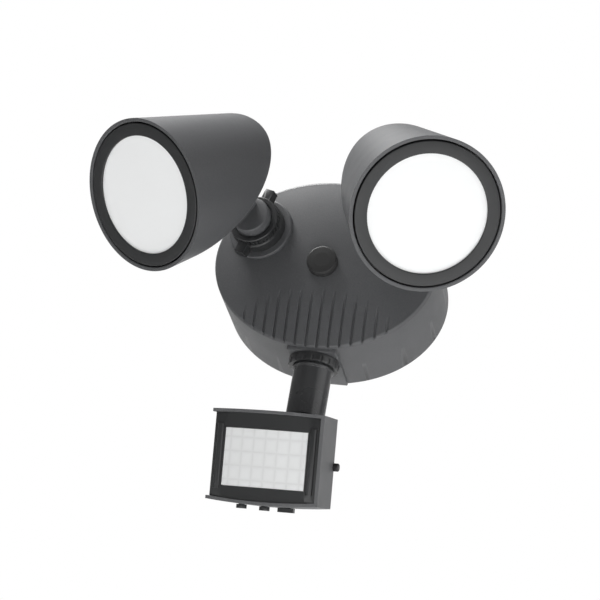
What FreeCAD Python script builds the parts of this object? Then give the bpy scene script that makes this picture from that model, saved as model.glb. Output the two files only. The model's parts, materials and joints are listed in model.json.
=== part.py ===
"""Wall-mounted motion sensor security light: an oval cast canopy, two aimable lamp heads and a sensor.

Frame: origin in the middle of the canopy's wall-side rim, the wall in the plane Y = 0,
+X to the right seen from in front, +Z up, the light standing off the wall towards -Y.
Lengths are millimetres, angles degrees.
"""
import FreeCAD, Part
import math
import os
import Sketcher
from FreeCAD import Placement, Rotation, Vector

SIZES = (
    ("canopy_half_width", 81.0, "half width of the canopy at the wall"),
    ("canopy_half_height", 65.8, "half height of the canopy at the wall"),
    ("canopy_draft", 1.0, "how much narrower each half is at the front rim"),
    ("canopy_depth", 61.4, "wall to the front rim"),
    ("canopy_dome", 8.4, "how far the face bulges past the rim"),
    ("canopy_wall", 2.6, "cast wall of the canopy"),
    ("canopy_edge", 2.5, "rounding of the front rim"),
    ("groove_pitch", 7.83, "spacing of the grooves in the lower face"),
    ("groove_width", 1.9, "width of one groove"),
    ("groove_depth", 1.7, "depth of a groove where it leaves the rim"),
    ("groove_count", 14.0, "number of grooves"),
    ("groove_top", 23.0, "how far below the middle the middle grooves start"),
    ("groove_sag", 4.6, "how much lower a groove starts 35 mm sideways, growing with the cube"),
    ("gasket_width", 5.0, "width of the foam gasket behind the canopy"),
    ("gasket_depth", 6.0, "depth of the foam gasket"),
    ("slip", 0.08, "radial clearance of parts that turn in each other"),
    ("seat_gap", 0.2, "face to face clearance of parts that turn on each other"),
    ("strap_end", 4.0, "metal between each strap slot and the strap's end"),
    ("strap_width", 25.0, "width of the mounting strap"),
    ("strap_thickness", 2.0, "thickness of the mounting strap"),
    ("strap_corner", 5.0, "rounding of the strap's corners"),
    ("ground_screw_radius", 1.6, "radius of the ground screw"),
    ("ground_head_radius", 4.0, "radius of the ground screw's head"),
    ("ground_head_height", 2.4, "height of the ground screw's head"),
    ("ground_screw_place", 22.4, "sideways place of the ground screw on the strap"),
    ("strap_slot_spacing", 88.9, "box screw spacing of a round junction box"),
    ("strap_slot_length", 10.0, "length of each strap slot between its round ends"),
    ("strap_slot_width", 5.0, "width of each strap slot"),
    ("box_screw_height", -3.5, "height of the centre screw above the canopy's middle"),
    ("centre_screw_radius", 2.1, "radius of the centre screw"),
    ("centre_head_radius", 4.6, "radius of the centre screw's head"),
    ("centre_head_height", 3.2, "height of the centre screw's head"),
    ("plug_radius", 10.8, "radius of the rubber plug over the centre screw"),
    ("plug_height", 6.0, "how far the plug stands out of the face"),
    ("plug_socket_radius", 8.0, "radius of the socket that the plug presses into"),
    ("plug_socket_depth", 7.0, "depth of the socket below the top of the face"),
    ("driver_width", 56.0, "width of the LED driver"),
    ("driver_height", 30.0, "height of the LED driver"),
    ("driver_depth", 18.0, "depth of the LED driver"),
    ("driver_rise", 25.0, "height of the driver's middle above the canopy's middle"),
    ("driver_front", 50.0, "distance from the wall to the driver's front"),
    ("driver_screw_radius", 1.5, "radius of the driver's screws"),
    ("driver_screw_grip", 6.0, "length of each driver screw in its post"),
    ("pad_half_width", 17.5, "half width of the flat pad under the canopy"),
    ("pad_drop", 66.4, "distance from the canopy's middle down to the pad"),
    ("pad_thickness", 5.0, "thickness of the pad"),
    ("arm_spread", 48.5, "sideways distance of each arm's foot"),
    ("arm_rise", 20.3, "height of each arm's foot"),
    ("arm_splay", 9.3, "angle by which each arm leans outwards"),
    ("boss_radius", 23.2, "radius of the arm boss on the face"),
    ("boss_height", 7.1, "height of the boss above the rim plane, along the arm"),
    ("boss_edge", 0.8, "chamfer of the boss"),
    ("neck_radius", 15.9, "radius of the threaded neck on the boss"),
    ("neck_height", 17.2, "end of the neck, along the arm"),
    ("shank_radius", 9.0, "radius of the arm's hollow shank"),
    ("shank_bore", 5.0, "radius of the wire way in the shank"),
    ("shank_inside", 12.0, "length of shank behind the rim plane"),
    ("flange_radius", 15.3, "radius of the arm's flange, trapped by the lock ring"),
    ("flange_thickness", 2.6, "thickness of the flange"),
    ("post_radius", 13.3, "radius of the arm's round post"),
    ("post_end", 29.0, "end of the post, along the arm"),
    ("tongue_thickness", 8.0, "thickness of the arm's tongue"),
    ("tongue_half_width", 9.0, "half width of the arm's tongue, and radius of its end"),
    ("tongue_offset", 5.0, "sideways offset of the tongue from the arm's axis"),
    ("tilt_reach", 76.0, "distance of the tilt pivot, along the arm"),
    ("ring_back_radius", 18.8, "outer radius of the lock ring at the boss"),
    ("ring_front_radius", 17.8, "outer radius of the lock ring at its front"),
    ("ring_lip_radius", 14.5, "opening in the front of the lock ring"),
    ("ring_lip_thickness", 1.7, "thickness of the lock ring's front lip"),
    ("ring_tooth_count", 36.0, "number of grip teeth round the lock ring"),
    ("ring_tooth_depth", 1.0, "depth between the grip teeth"),
    ("ring_tooth_width", 1.5, "width between the grip teeth"),
    ("ring_tooth_length", 6.0, "length of the grip teeth, along the arm"),
    ("wing_reach", 25.6, "distance of the lock ring's wing tips from its axis"),
    ("wing_width", 7.0, "width of a wing"),
    ("wing_depth", 7.5, "length of a wing, along the arm"),
    ("wing_angle", 17.0, "angle of the wings from upright"),
    ("arm_nut_radius", 13.0, "outer radius of the nut inside the canopy"),
    ("arm_nut_height", 5.0, "height of the nut inside the canopy"),
    ("pivot_screw_radius", 2.5, "radius of the tilt screw"),
    ("pivot_head_radius", 4.6, "radius of the tilt screw's head"),
    ("pivot_head_height", 3.0, "height of the tilt screw's head"),
    ("pivot_nut_width", 8.0, "width across flats of the tilt screw's nut"),
    ("pivot_nut_height", 4.0, "height of the tilt screw's nut"),
    ("ear_thickness", 5.0, "thickness of each ear of the lamp head"),
    ("head_rear_radius", 39.6, "outer radius of the lamp head at its back"),
    ("head_front_radius", 50.8, "outer radius of the lamp head at its rim"),
    ("head_length", 97.6, "length of the lamp head"),
    ("head_wall", 2.5, "wall of the lamp head"),
    ("head_setback", 15.8, "distance of the head's back behind the tilt pivot"),
    ("head_rise", 6.7, "distance of the head's axis above the tilt pivot"),
    ("head_cut_angle", 43.8, "slant of the cut under the lamp head"),
    ("head_cut_rise", 39.0, "height above the head's axis where the cut meets the back"),
    ("head_pillar_radius", 14.0, "radius of the cast pillar that carries the LED board"),
    ("bezel_gap", 0.9, "dark gap between the head's rim and the bezel"),
    ("bezel_depth", 7.0, "depth of the bezel"),
    ("bezel_ledge", 2.5, "thickness of the ledge that the bezel sits on"),
    ("bezel_ledge_width", 4.0, "width of the ledge that the bezel sits on"),
    ("lens_window_radius", 39.1, "visible radius of the lamp lens"),
    ("lens_radius", 42.0, "outer radius of the lamp lens"),
    ("lens_recess", 1.7, "depth of the lens behind the bezel's face"),
    ("lens_thickness", 2.6, "thickness of the lamp lens"),
    ("gasket_thickness", 1.2, "thickness of the lens gasket"),
    ("lens_gasket_width", 2.2, "width of the lens gasket"),
    ("reflector_sheet", 1.0, "thickness of the reflector"),
    ("reflector_throat", 17.0, "radius of the reflector round the LED board"),
    ("led_board_radius", 15.5, "radius of the LED board"),
    ("led_board_thickness", 1.6, "thickness of the LED board"),
    ("led_depth", 26.0, "distance from the head's rim back to the LED board's face"),
    ("led_size", 3.0, "side of one LED"),
    ("led_height", 0.8, "height of one LED"),
    ("led_ring_radius", 7.6, "radius of the ring of LEDs"),
    ("led_count", 9.0, "number of LEDs in the ring, round one in the middle"),
    ("stem_stand_off", 42.0, "distance of the sensor stem's axis from the wall"),
    ("stem_radius", 13.6, "radius of the sensor stem"),
    ("stem_end", 110.6, "distance from the canopy's middle down to the stem's end"),
    ("stem_collar", 1.2, "how much wider the stem's top collar is"),
    ("stem_collar_height", 2.6, "height of the stem's top collar"),
    ("stem_shank_radius", 10.0, "radius of the stem's threaded shank"),
    ("stem_shank_top", 52.0, "distance from the canopy's middle down to the shank's end"),
    ("stem_nut_radius", 17.9, "outer radius of the lock nut under the canopy"),
    ("stem_nut_height", 6.2, "height of the lock nut under the canopy"),
    ("stem_nut_ribs", 18.0, "number of flats round the lock nut"),
    ("inner_nut_radius", 15.0, "outer radius of the nut inside the canopy"),
    ("inner_nut_height", 5.0, "height of the nut inside the canopy"),
    ("stem_tongue_half", 5.0, "half thickness of the stem's tongue"),
    ("stem_tongue_radius", 8.0, "half width of the stem's tongue, and radius of its end"),
    ("sensor_pivot_drop", 144.0, "distance from the canopy's middle down to the sensor pivot"),
    ("sensor_width", 78.4, "width of the sensor"),
    ("sensor_height", 61.2, "height of the sensor at its sides"),
    ("sensor_depth", 38.1, "depth of the sensor"),
    ("sensor_front", 34.9, "distance of the sensor's front from its pivot"),
    ("sensor_left", 13.0, "how far the sensor's middle is left of its pivot"),
    ("sensor_up", 2.05, "how far the sensor's middle is above its pivot"),
    ("sensor_top_bow", 0.6, "how far the sensor's top arches"),
    ("sensor_bottom_bow", 2.0, "how far the sensor's bottom bows"),
    ("sensor_wall", 2.2, "wall of the sensor housing"),
    ("sensor_back_edge", 2.5, "chamfer round the back of the sensor"),
    ("sensor_front_bow", 3.4, "how far the lips and the frame bulge forwards in the middle"),
    ("lip_reach", 1.2, "how far the lips stand out in front of the frame"),
    ("frame_depth", 10.0, "depth of the sensor's front frame at its sides"),
    ("frame_rail", 4.5, "thickness of the frame's face"),
    ("pillar_radius", 2.3, "radius of the half-round pillars beside the window"),
    ("pillar_gap", 1.2, "distance of each pillar from the window"),
    ("window_side", 10.2, "distance from each side of the sensor to its window"),
    ("window_rim", 10.9, "distance from the sensor's top and bottom to a centred window"),
    ("window_drop", 1.25, "how far the window's middle is below the sensor's middle"),
    ("window_radius", 142.0, "radius of the curved sensor lens"),
    ("sensor_lens_thickness", 1.2, "thickness of the sensor lens"),
    ("lens_flange", 2.0, "how far the sensor lens reaches behind the frame"),
    ("sensor_board_setback", 4.4, "distance of the sensor's board behind the frame"),
    ("sensor_board_thickness", 1.6, "thickness of the sensor's board"),
    ("pyro_radius", 4.6, "radius of the pyroelectric can"),
    ("pyro_height", 4.2, "height of the pyroelectric can"),
    ("cell_radius", 2.5, "radius of the light cell"),
    ("cell_height", 3.0, "height of the light cell"),
    ("relay_width", 16.0, "width of the relay"),
    ("relay_depth", 7.0, "depth of the relay behind the board"),
    ("relay_height", 12.0, "height of the relay"),
    ("capacitor_radius", 3.5, "radius of the capacitor"),
    ("capacitor_height", 7.0, "length of the capacitor"),
    ("part_gap", 3.8, "gap between the parts behind the sensor's board"),
    ("slot_clearance", 0.3, "clearance of the stem's tongue in its slot"),
    ("clamp_bolt_radius", 2.0, "radius of the sensor's clamp bolt"),
    ("clamp_head_radius", 2.8, "radius of the clamp bolt's head"),
    ("clamp_head_height", 3.8, "height of the clamp bolt's head"),
    ("clamp_nut_width", 7.0, "width across flats of the clamp bolt's nut"),
    ("clamp_nut_height", 3.2, "height of the clamp bolt's nut"),
    ("knob_line_share", 0.42, "place of the knobs, as a share of the sensor's depth behind its front"),
    ("time_knob_share", 0.27, "place of the time knob, as a share of the sensor's width"),
    ("range_knob_share", 0.478, "place of the range knob, as a share of the sensor's width"),
    ("switch_share", 0.674, "place of the mode switch, as a share of the sensor's width"),
    ("knob_radius", 3.6, "radius of the two setting knobs"),
    ("knob_drop", 3.0, "how far the knobs stand out under the sensor"),
    ("switch_length", 11.0, "length of the mode switch's slider"),
    ("switch_width", 5.0, "width of the mode switch's slider"),
    ("switch_travel", 4.0, "travel of the mode switch's slider"),
)

# The pose that the light is built in: where each lamp head and the sensor point.
AIM = {"left": (-35.06, -35.8), "right": (29.2, -36.5)}
SENSOR_SWIVEL = -3.8
SENSOR_TILT = 17.4
SIDES = {"left": -1, "right": 1}

OUTWARD = Rotation(Vector(1, 0, 0), 90)
RIGHT_WAY = Rotation(Vector(0, 1, 0), 90)

doc = FreeCAD.newDocument("SecurityLight")
sheet = doc.addObject("Spreadsheet::Sheet", "Dims")
PARTS = []


class Size:
    """A number together with the expression that binds it to the spreadsheet."""

    def __init__(self, number, text):
        self.number = float(number)
        self.text = text

    def __float__(self):
        return self.number

    def __add__(self, other):
        other = as_size(other)
        return Size(self.number + other.number, f"({self.text} + {other.text})")

    def __sub__(self, other):
        other = as_size(other)
        return Size(self.number - other.number, f"({self.text} - {other.text})")

    def __mul__(self, other):
        other = as_size(other)
        return Size(self.number * other.number, f"({self.text} * {other.text})")

    def __truediv__(self, other):
        other = as_size(other)
        return Size(self.number / other.number, f"({self.text} / {other.text})")

    def __neg__(self):
        return Size(-self.number, f"(0 - {self.text})")

    def __radd__(self, other):
        return as_size(other) + self

    def __rsub__(self, other):
        return as_size(other) - self

    def __rmul__(self, other):
        return as_size(other) * self


def as_size(value):
    """Wrap a plain number, so that it can be mixed with sizes from the sheet."""
    if isinstance(value, Size):
        return value
    return Size(value, f"({float(value):.9f})")


class Dimensions:
    """The driving sizes, written to the spreadsheet and read back by name."""

    def __init__(self, rows):
        self.rows = {}
        for row, (name, value, meaning) in enumerate(rows, start=1):
            sheet.set(f"A{row}", name)
            sheet.set(f"B{row}", str(value))
            sheet.set(f"C{row}", meaning)
            sheet.setAlias(f"B{row}", name)
            self.rows[name] = value

    def __getattr__(self, name):
        return Size(self.rows[name], f"Dims.{name}")


d = Dimensions(SIZES)
doc.recompute()


def plane_of(body, role):
    """One of a body's own origin planes or axes."""
    for feature in body.Origin.OriginFeatures:
        if feature.Role == role:
            return feature
    raise KeyError(role)


def bind(thing, prop, size):
    """Drive one property of a feature from the sheet."""
    thing.setExpression(prop, as_size(size).text)


def move(thing, at, turn=None):
    """Place a feature inside its body, with each coordinate driven from the sheet."""
    if turn is not None:
        thing.Placement = Placement(Vector(0, 0, 0), turn)
    for axis, value in zip("xyz", at or ()):
        bind(thing, f"Placement.Base.{axis}", value)


def new_body(label):
    """An empty PartDesign body for one sub-part."""
    body = doc.addObject("PartDesign::Body", label)
    body.Label = label
    return body


def cylinder(body, radius, height, at=(0, 0, 0), turn=None, cut=False):
    """Add or cut a cylinder that starts at a point and runs along its own Z."""
    kind = "SubtractiveCylinder" if cut else "AdditiveCylinder"
    shape = body.newObject(f"PartDesign::{kind}", f"{body.Name}_cylinder")
    bind(shape, "Radius", radius)
    bind(shape, "Height", height)
    move(shape, at, turn)
    return shape


def cone(body, foot_radius, top_radius, height, at=(0, 0, 0), turn=None):
    """Add a cone that starts at a point and runs along its own Z."""
    shape = body.newObject("PartDesign::AdditiveCone", f"{body.Name}_cone")
    bind(shape, "Radius1", foot_radius)
    bind(shape, "Radius2", top_radius)
    bind(shape, "Height", height)
    move(shape, at, turn)
    return shape


def block(body, size, at, turn=None, cut=False):
    """Add or cut a box that starts at its lowest corner."""
    kind = "SubtractiveBox" if cut else "AdditiveBox"
    shape = body.newObject(f"PartDesign::{kind}", f"{body.Name}_box")
    for prop, value in zip(("Length", "Width", "Height"), size):
        bind(shape, prop, value)
    move(shape, at, turn)
    return shape


def new_sketch(body, role, height=0):
    """A sketch on one of the body's planes, lifted by a height."""
    sketch = body.newObject("Sketcher::SketchObject", f"{body.Name}_sketch")
    sketch.AttachmentSupport = [(plane_of(body, role), "")]
    sketch.MapMode = "FlatFace"
    bind(sketch, "AttachmentOffset.Base.z", height)
    return sketch


def pin(sketch, kind, *ends, size):
    """Add one driving constraint and tie it to the sheet."""
    index = sketch.addConstraint(Sketcher.Constraint(kind, *ends, float(as_size(size))))
    bind(sketch, f"Constraints[{index}]", size)


def draw_outline(sketch, points, bows=None):
    """Draw a closed outline through points; a bow turns the side that leaves a point into an arc.

    A bow is positive where the arc bulges out of a counter-clockwise outline, negative where it
    bulges in. The sketcher stores an arc that bulges in from its far end to its near end.
    """
    bows = bows or {}
    count = len(points)
    first = sketch.GeometryCount
    ends = []
    for index, (x, y) in enumerate(points):
        start = Vector(float(x), float(y), 0)
        far_x, far_y = points[(index + 1) % count]
        end = Vector(float(far_x), float(far_y), 0)
        bow = float(bows.get(index, 0.0))
        if bow:
            along = end - start
            side = Vector(along.y, -along.x, 0).normalize()
            middle = (start + end) * 0.5 + side * bow
            sketch.addGeometry(Part.Arc(start, middle, end), False)
        else:
            sketch.addGeometry(Part.LineSegment(start, end), False)
        ends.append((2, 1) if bow < 0 else (1, 2))
    for index in range(count):
        after = (index + 1) % count
        joined = (first + index, ends[index][1], first + after, ends[after][0])
        sketch.addConstraint(Sketcher.Constraint("Coincident", *joined))
    for index, (x, y) in enumerate(points):
        pin(sketch, "DistanceX", -1, 1, first + index, ends[index][0], size=x)
        pin(sketch, "DistanceY", -1, 1, first + index, ends[index][0], size=y)
    for index, bow in bows.items():
        half = (as_size(points[(index + 1) % count][0]) - points[index][0]) / 2
        rise = -bow if float(bow) < 0 else bow
        pin(sketch, "Radius", first + index, size=(half * half / rise + rise) / 2)


def draw_ellipse(sketch, half_width, half_height):
    """Draw an ellipse about the sketch's origin."""
    curve = Part.Ellipse(Vector(0, 0, 0), float(half_width), float(half_height))
    sketch.addGeometry(curve, False)
    sketch.exposeInternalGeometry(0)
    sketch.addConstraint(Sketcher.Constraint("Coincident", 0, 3, -1, 1))
    sketch.addConstraint(Sketcher.Constraint("Horizontal", 1))
    pin(sketch, "Distance", 1, size=2 * half_width)
    pin(sketch, "Distance", 2, size=2 * half_height)


def draw_regular(sketch, flats, sides, turned=0.0):
    """Draw a regular polygon with a given width across flats."""
    corner = 1 / math.cos(math.pi / sides) / 2
    points = []
    for index in range(sides):
        angle = math.radians(turned) + 2 * math.pi * index / sides
        points.append((flats * (corner * math.cos(angle)), flats * (corner * math.sin(angle))))
    draw_outline(sketch, points)


def extrude(body, sketch, length, cut=False):
    """Pad a sketch along its normal, or cut along its normal."""
    before = 0.0
    if cut:
        doc.recompute()
        before = body.Shape.Volume
    feature = body.newObject("PartDesign::Pocket" if cut else "PartDesign::Pad", f"{body.Name}_run")
    feature.Profile = sketch
    bind(feature, "Length", length)
    if cut:
        feature.Reversed = True
        doc.recompute()
        if not body.Shape.Volume < before:
            raise RuntimeError(f"the cut in {body.Label} takes nothing away")
    return feature


def turned(label, profile):
    """A body turned about its own Z from (radius, height) points."""
    body = new_body(label)
    sketch = new_sketch(body, "XZ_Plane")
    draw_outline(sketch, profile)
    feature = body.newObject("PartDesign::Revolution", f"{body.Name}_turning")
    feature.Profile = sketch
    feature.ReferenceAxis = (sketch, ["V_Axis"])
    feature.Angle = 360
    return body


def polar(body, originals, count):
    """Repeat features evenly round the body's own Z."""
    pattern = body.newObject("PartDesign::PolarPattern", f"{body.Name}_pattern")
    pattern.Originals = originals
    pattern.Axis = (plane_of(body, "Z_Axis"), [""])
    pattern.Angle = 360
    bind(pattern, "Occurrences", count)
    body.Tip = pattern
    return pattern


def round_edges(body, radius, wanted, chamfer=False):
    """Round or chamfer the edges of the body's current shape that a test picks."""
    doc.recompute()
    names = []
    for index, edge in enumerate(body.Shape.Edges, start=1):
        if wanted(edge):
            names.append(f"Edge{index}")
    if not names:
        raise RuntimeError(f"no edge to round in {body.Label}")
    base = body.Tip
    feature = body.newObject("PartDesign::Chamfer" if chamfer else "PartDesign::Fillet", f"{body.Name}_edge")
    feature.Base = (base, names)
    bind(feature, "Size" if chamfer else "Radius", radius)
    return feature


def is_along(edge, direction):
    """True for a straight edge along a direction."""
    if not isinstance(edge.Curve, Part.Line):
        return False
    run = edge.Vertexes[-1].Point - edge.Vertexes[0].Point
    return run.cross(direction).Length < 1e-5 * run.Length


def place(thing, placement):
    """Put a finished sub-part in its place and list it."""
    thing.Placement = placement
    PARTS.append(thing)
    return thing


def aim_of(side):
    """Unit vector along which a lamp head points."""
    around, up = (math.radians(angle) for angle in AIM[side])
    return Vector(math.sin(around) * math.cos(up), -math.cos(around) * math.cos(up), math.sin(up))


def arm_axis(side):
    """Unit vector along an arm, away from the canopy."""
    splay = math.radians(float(d.arm_splay))
    return Vector(SIDES[side] * math.sin(splay), -math.cos(splay), 0)


def arm_foot(side):
    """Where an arm's axis crosses the plane of the canopy's rim."""
    return Vector(SIDES[side] * float(d.arm_spread), -float(d.canopy_depth), float(d.arm_rise))


def frame_along(z_axis, x_axis, origin):
    """A placement with its Z and X along two square directions."""
    y_axis = z_axis.cross(x_axis)
    return Placement(origin, Rotation(x_axis, y_axis, z_axis, "ZXY"))


def tilt_axis(side):
    """Unit vector of a lamp head's tilt pivot, square to its arm and to its aim."""
    return arm_axis(side).cross(aim_of(side)).normalize()


def arm_frame(side):
    """Frame of an arm: Z along it, X along the tilt pivot, origin at its foot."""
    return frame_along(arm_axis(side), tilt_axis(side), arm_foot(side))


def ring_frame(side):
    """Frame of a lock ring: Z along the arm, Y upright."""
    axis = arm_axis(side)
    upright = Vector(0, 0, 1)
    return frame_along(axis, upright.cross(axis), arm_foot(side))


def tilt_point(side):
    """Where a lamp head's tilt pivot crosses the arm's axis."""
    return arm_foot(side) + arm_axis(side) * float(d.tilt_reach)


def head_frame(side):
    """Frame of a lamp head: Z along its aim, X along the tilt pivot, origin at the pivot."""
    return frame_along(aim_of(side), tilt_axis(side), tilt_point(side))


def stem_frame():
    """Frame of the sensor stem: Z up, origin level with the canopy's middle."""
    turn = Rotation(Vector(0, 0, 1), SENSOR_SWIVEL)
    return Placement(Vector(0, -float(d.stem_stand_off), 0), turn)


def sensor_frame():
    """Frame of the sensor: origin at its pivot, -Y where it looks, +Z its top."""
    tilt = Placement(Vector(0, 0, -float(d.sensor_pivot_drop)), Rotation(Vector(1, 0, 0), SENSOR_TILT))
    return stem_frame().multiply(tilt)


FACE = Placement(Vector(0, 0, 0), OUTWARD)


# ---------------------------------------------------------------- canopy
# In the canopy's own frame X is to the right, Y is up and Z is away from the wall.

def oval_blank(name, inset):
    """Solid oval drum with a domed face: a turned blank, stretched to the canopy's proportions."""
    half_width = float(d.canopy_half_width - inset)
    half_height = float(d.canopy_half_height - inset)
    rim_radius = half_width - float(d.canopy_draft)
    rim = float(d.canopy_depth - inset)
    edge = float(d.canopy_edge)
    dome = float(d.canopy_dome)
    curve_radius = (rim_radius ** 2 + dome ** 2) / (2 * dome)

    def on_dome(radius):
        drop = curve_radius - math.sqrt(curve_radius ** 2 - radius ** 2)
        return Vector(0, -radius, rim + dome - drop)

    foot = Vector(0, -half_width, 0)
    shoulder = Vector(0, -rim_radius, rim - edge)
    brow = on_dome(rim_radius - edge)
    corner = Vector(0, -rim_radius + 0.3 * edge, rim - 0.22 * edge)
    top = on_dome(0)
    outline = Part.Wire(
        [
            Part.LineSegment(Vector(0, 0, 0), foot).toShape(),
            Part.LineSegment(foot, shoulder).toShape(),
            Part.Arc(shoulder, corner, brow).toShape(),
            Part.Arc(brow, on_dome(rim_radius / 2), top).toShape(),
            Part.LineSegment(top, Vector(0, 0, 0)).toShape(),
        ]
    )
    stretch = FreeCAD.Matrix()
    stretch.scale(1, half_height / half_width, 1)
    blank = doc.addObject("Part::Feature", name)
    round_blank = Part.Face(outline).revolve(Vector(0, 0, 0), Vector(0, 0, 1), 360)
    blank.Shape = round_blank.transformGeometry(stretch)
    return blank


def face_height(x, y):
    """Distance of the domed face from the wall at a point of the face."""
    across = x / float(d.canopy_half_width - d.canopy_draft)
    up = y / float(d.canopy_half_height - d.canopy_draft)
    return float(d.canopy_depth) + float(d.canopy_dome) * (1 - across ** 2 - up ** 2)


def arm_turn(side):
    """Turn that lays a feature's Z along an arm, in the canopy's frame."""
    return Rotation(Vector(0, 0, 1), OUTWARD.inverted().multVec(arm_axis(side)))


def arm_point(side, reach):
    """A point on an arm's axis, in the canopy's frame."""
    lean = OUTWARD.inverted().multVec(arm_axis(side))
    return (
        SIDES[side] * d.arm_spread + lean.x * as_size(reach),
        d.arm_rise + lean.y * as_size(reach),
        d.canopy_depth + lean.z * as_size(reach),
    )


def cut_grooves(body):
    """Narrow grooves fan down the lower face and run out through the rim."""
    count = int(float(d.groove_count))
    for index in range(count):
        x = (index - (count - 1) / 2) * float(d.groove_pitch)
        top = -float(d.groove_top) - float(d.groove_sag) * (abs(x) / 35) ** 3
        across = x / float(d.canopy_half_width - d.canopy_draft)
        foot = -float(d.canopy_half_height) * math.sqrt(1 - across ** 2) - 1
        start = Vector(x, top, face_height(x, top))
        end = Vector(x, foot, float(d.canopy_depth - d.groove_depth))
        run = end - start
        turn = Rotation(Vector(1, 0, 0), math.degrees(math.atan2(-run.z, -run.y)) + 180)
        length = run.Length + 2
        groove = block(body, (d.groove_width, length, d.canopy_dome), None, cut=True)
        corner = Vector(-float(d.groove_width) / 2, 0, -float(d.canopy_dome))
        groove.Placement = Placement(start + turn.multVec(corner), turn)


def make_canopy():
    """The cast cover: oval drum with a domed face, two arm bosses, a pad and a socket."""
    body = new_body("canopy")
    shell = doc.addObject("Part::Cut", "canopy_shell")
    shell.Base = oval_blank("canopy_outside", as_size(0))
    shell.Tool = oval_blank("canopy_inside", d.canopy_wall)
    doc.recompute()
    body.BaseFeature = shell
    cut_grooves(body)
    pad_size = (2 * d.pad_half_width, d.pad_thickness, d.canopy_depth - d.canopy_edge)
    block(body, pad_size, (-d.pad_half_width, -d.pad_drop, 0))
    for side in SIDES:
        turn = arm_turn(side)
        cylinder(body, d.boss_radius, d.boss_height - d.boss_edge, arm_point(side, 0), turn)
        rim_start = arm_point(side, d.boss_height - d.boss_edge)
        cone(body, d.boss_radius, d.boss_radius - d.boss_edge, d.boss_edge, rim_start, turn)
        cylinder(body, d.neck_radius, d.neck_height, arm_point(side, 0), turn)
        bore_start = arm_point(side, -d.shank_inside)
        bore_length = d.shank_inside + d.neck_height + 1
        cylinder(body, d.shank_radius + d.slip, bore_length, bore_start, turn, cut=True)
    socket_floor = d.canopy_depth + d.canopy_dome - d.plug_socket_depth
    column = socket_floor - d.strap_thickness + 1
    tower_radius = d.plug_socket_radius + d.canopy_wall
    tower_top = d.canopy_depth + d.canopy_dome - d.canopy_wall
    tower_start = socket_floor - d.canopy_wall
    cylinder(body, tower_radius, tower_top - tower_start, (0, d.box_screw_height, tower_start))
    socket_start = (0, d.box_screw_height, socket_floor)
    cylinder(body, d.plug_socket_radius, d.plug_socket_depth + 1, socket_start, cut=True)
    screw_start = (0, d.box_screw_height, d.strap_thickness)
    cylinder(body, d.centre_screw_radius + d.seat_gap, column, screw_start, cut=True)
    for sign in (-1, 1):
        post = (sign * d.driver_width / 3, d.driver_rise, d.driver_front)
        reach = face_height(float(d.driver_width) / 3, float(d.driver_rise)) - float(d.canopy_wall)
        cylinder(body, 4.0, reach - float(d.driver_front) + 0.5, post)
        cylinder(body, d.driver_screw_radius + 0.02, d.driver_screw_grip + 0.5, post, cut=True)
    shank_hole = (0, -d.pad_drop - 1, d.stem_stand_off)
    down_up = Rotation(Vector(1, 0, 0), -90)
    shank_length = d.pad_drop - d.stem_shank_top + 1
    cylinder(body, d.stem_shank_radius + d.slip, shank_length, shank_hole, down_up, cut=True)
    return place(body, FACE)


def make_canopy_gasket():
    """Foam ring inside the canopy's back rim that seals it to the wall."""
    body = new_body("canopy_gasket")
    inset = d.canopy_wall + d.seat_gap
    for width, cut in ((inset, False), (inset + d.gasket_width, True)):
        sketch = new_sketch(body, "XY_Plane")
        inset = width + d.canopy_draft / 4
        draw_ellipse(sketch, d.canopy_half_width - inset, d.canopy_half_height - inset)
        extrude(body, sketch, d.gasket_depth, cut)
        doc.recompute()
    notch = (2 * (d.pad_half_width + d.seat_gap), d.pad_thickness, d.gasket_depth + 2)
    notch_low = -d.pad_drop + d.seat_gap
    block(body, notch, (-d.pad_half_width - d.seat_gap, notch_low, -1), cut=True)
    return place(body, FACE)


def make_strap():
    """Steel cross bar that screws to the junction box and takes the centre screw."""
    body = new_body("mounting_strap")
    middle = d.box_screw_height
    low = middle - d.strap_width / 2
    radius = d.strap_slot_width / 2
    half_length = d.strap_slot_spacing / 2 + d.strap_slot_length / 2 + radius + d.strap_end
    block(body, (2 * half_length, d.strap_width, d.strap_thickness), (-half_length, low, 0))
    through = d.strap_thickness + 2
    for sign in (-1, 1):
        centre = sign * d.strap_slot_spacing / 2
        near = centre - d.strap_slot_length / 2
        slot = (d.strap_slot_length, d.strap_slot_width, through)
        block(body, slot, (near, middle - radius, -1), cut=True)
        for end in (-1, 1):
            at = (centre + end * d.strap_slot_length / 2, middle, -1)
            cylinder(body, radius, through, at, cut=True)
    cylinder(body, d.centre_screw_radius + d.slip, through, (0, middle, -1), cut=True)
    cylinder(body, d.ground_screw_radius, through, (d.ground_screw_place, middle, -1), cut=True)
    doc.recompute()
    end_line = float(half_length) - 0.01

    def is_corner(edge):
        """An upright edge at either end of the strap."""
        box = edge.BoundBox
        return is_along(edge, Vector(0, 0, 1)) and (box.XMax > end_line or box.XMin < -end_line)

    round_edges(body, d.strap_corner, is_corner)
    return place(body, FACE)


def make_screw(label, radius, length, head_radius, head_height, head_edge=0.6):
    """A pan head screw: its shank runs along -Z from the origin, its head along +Z."""
    return turned(
        label,
        [
            (0, -length),
            (radius, -length),
            (radius, 0),
            (head_radius, 0),
            (head_radius, head_height - head_edge),
            (head_radius - head_edge, head_height),
            (0, head_height),
        ],
    )


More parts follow.
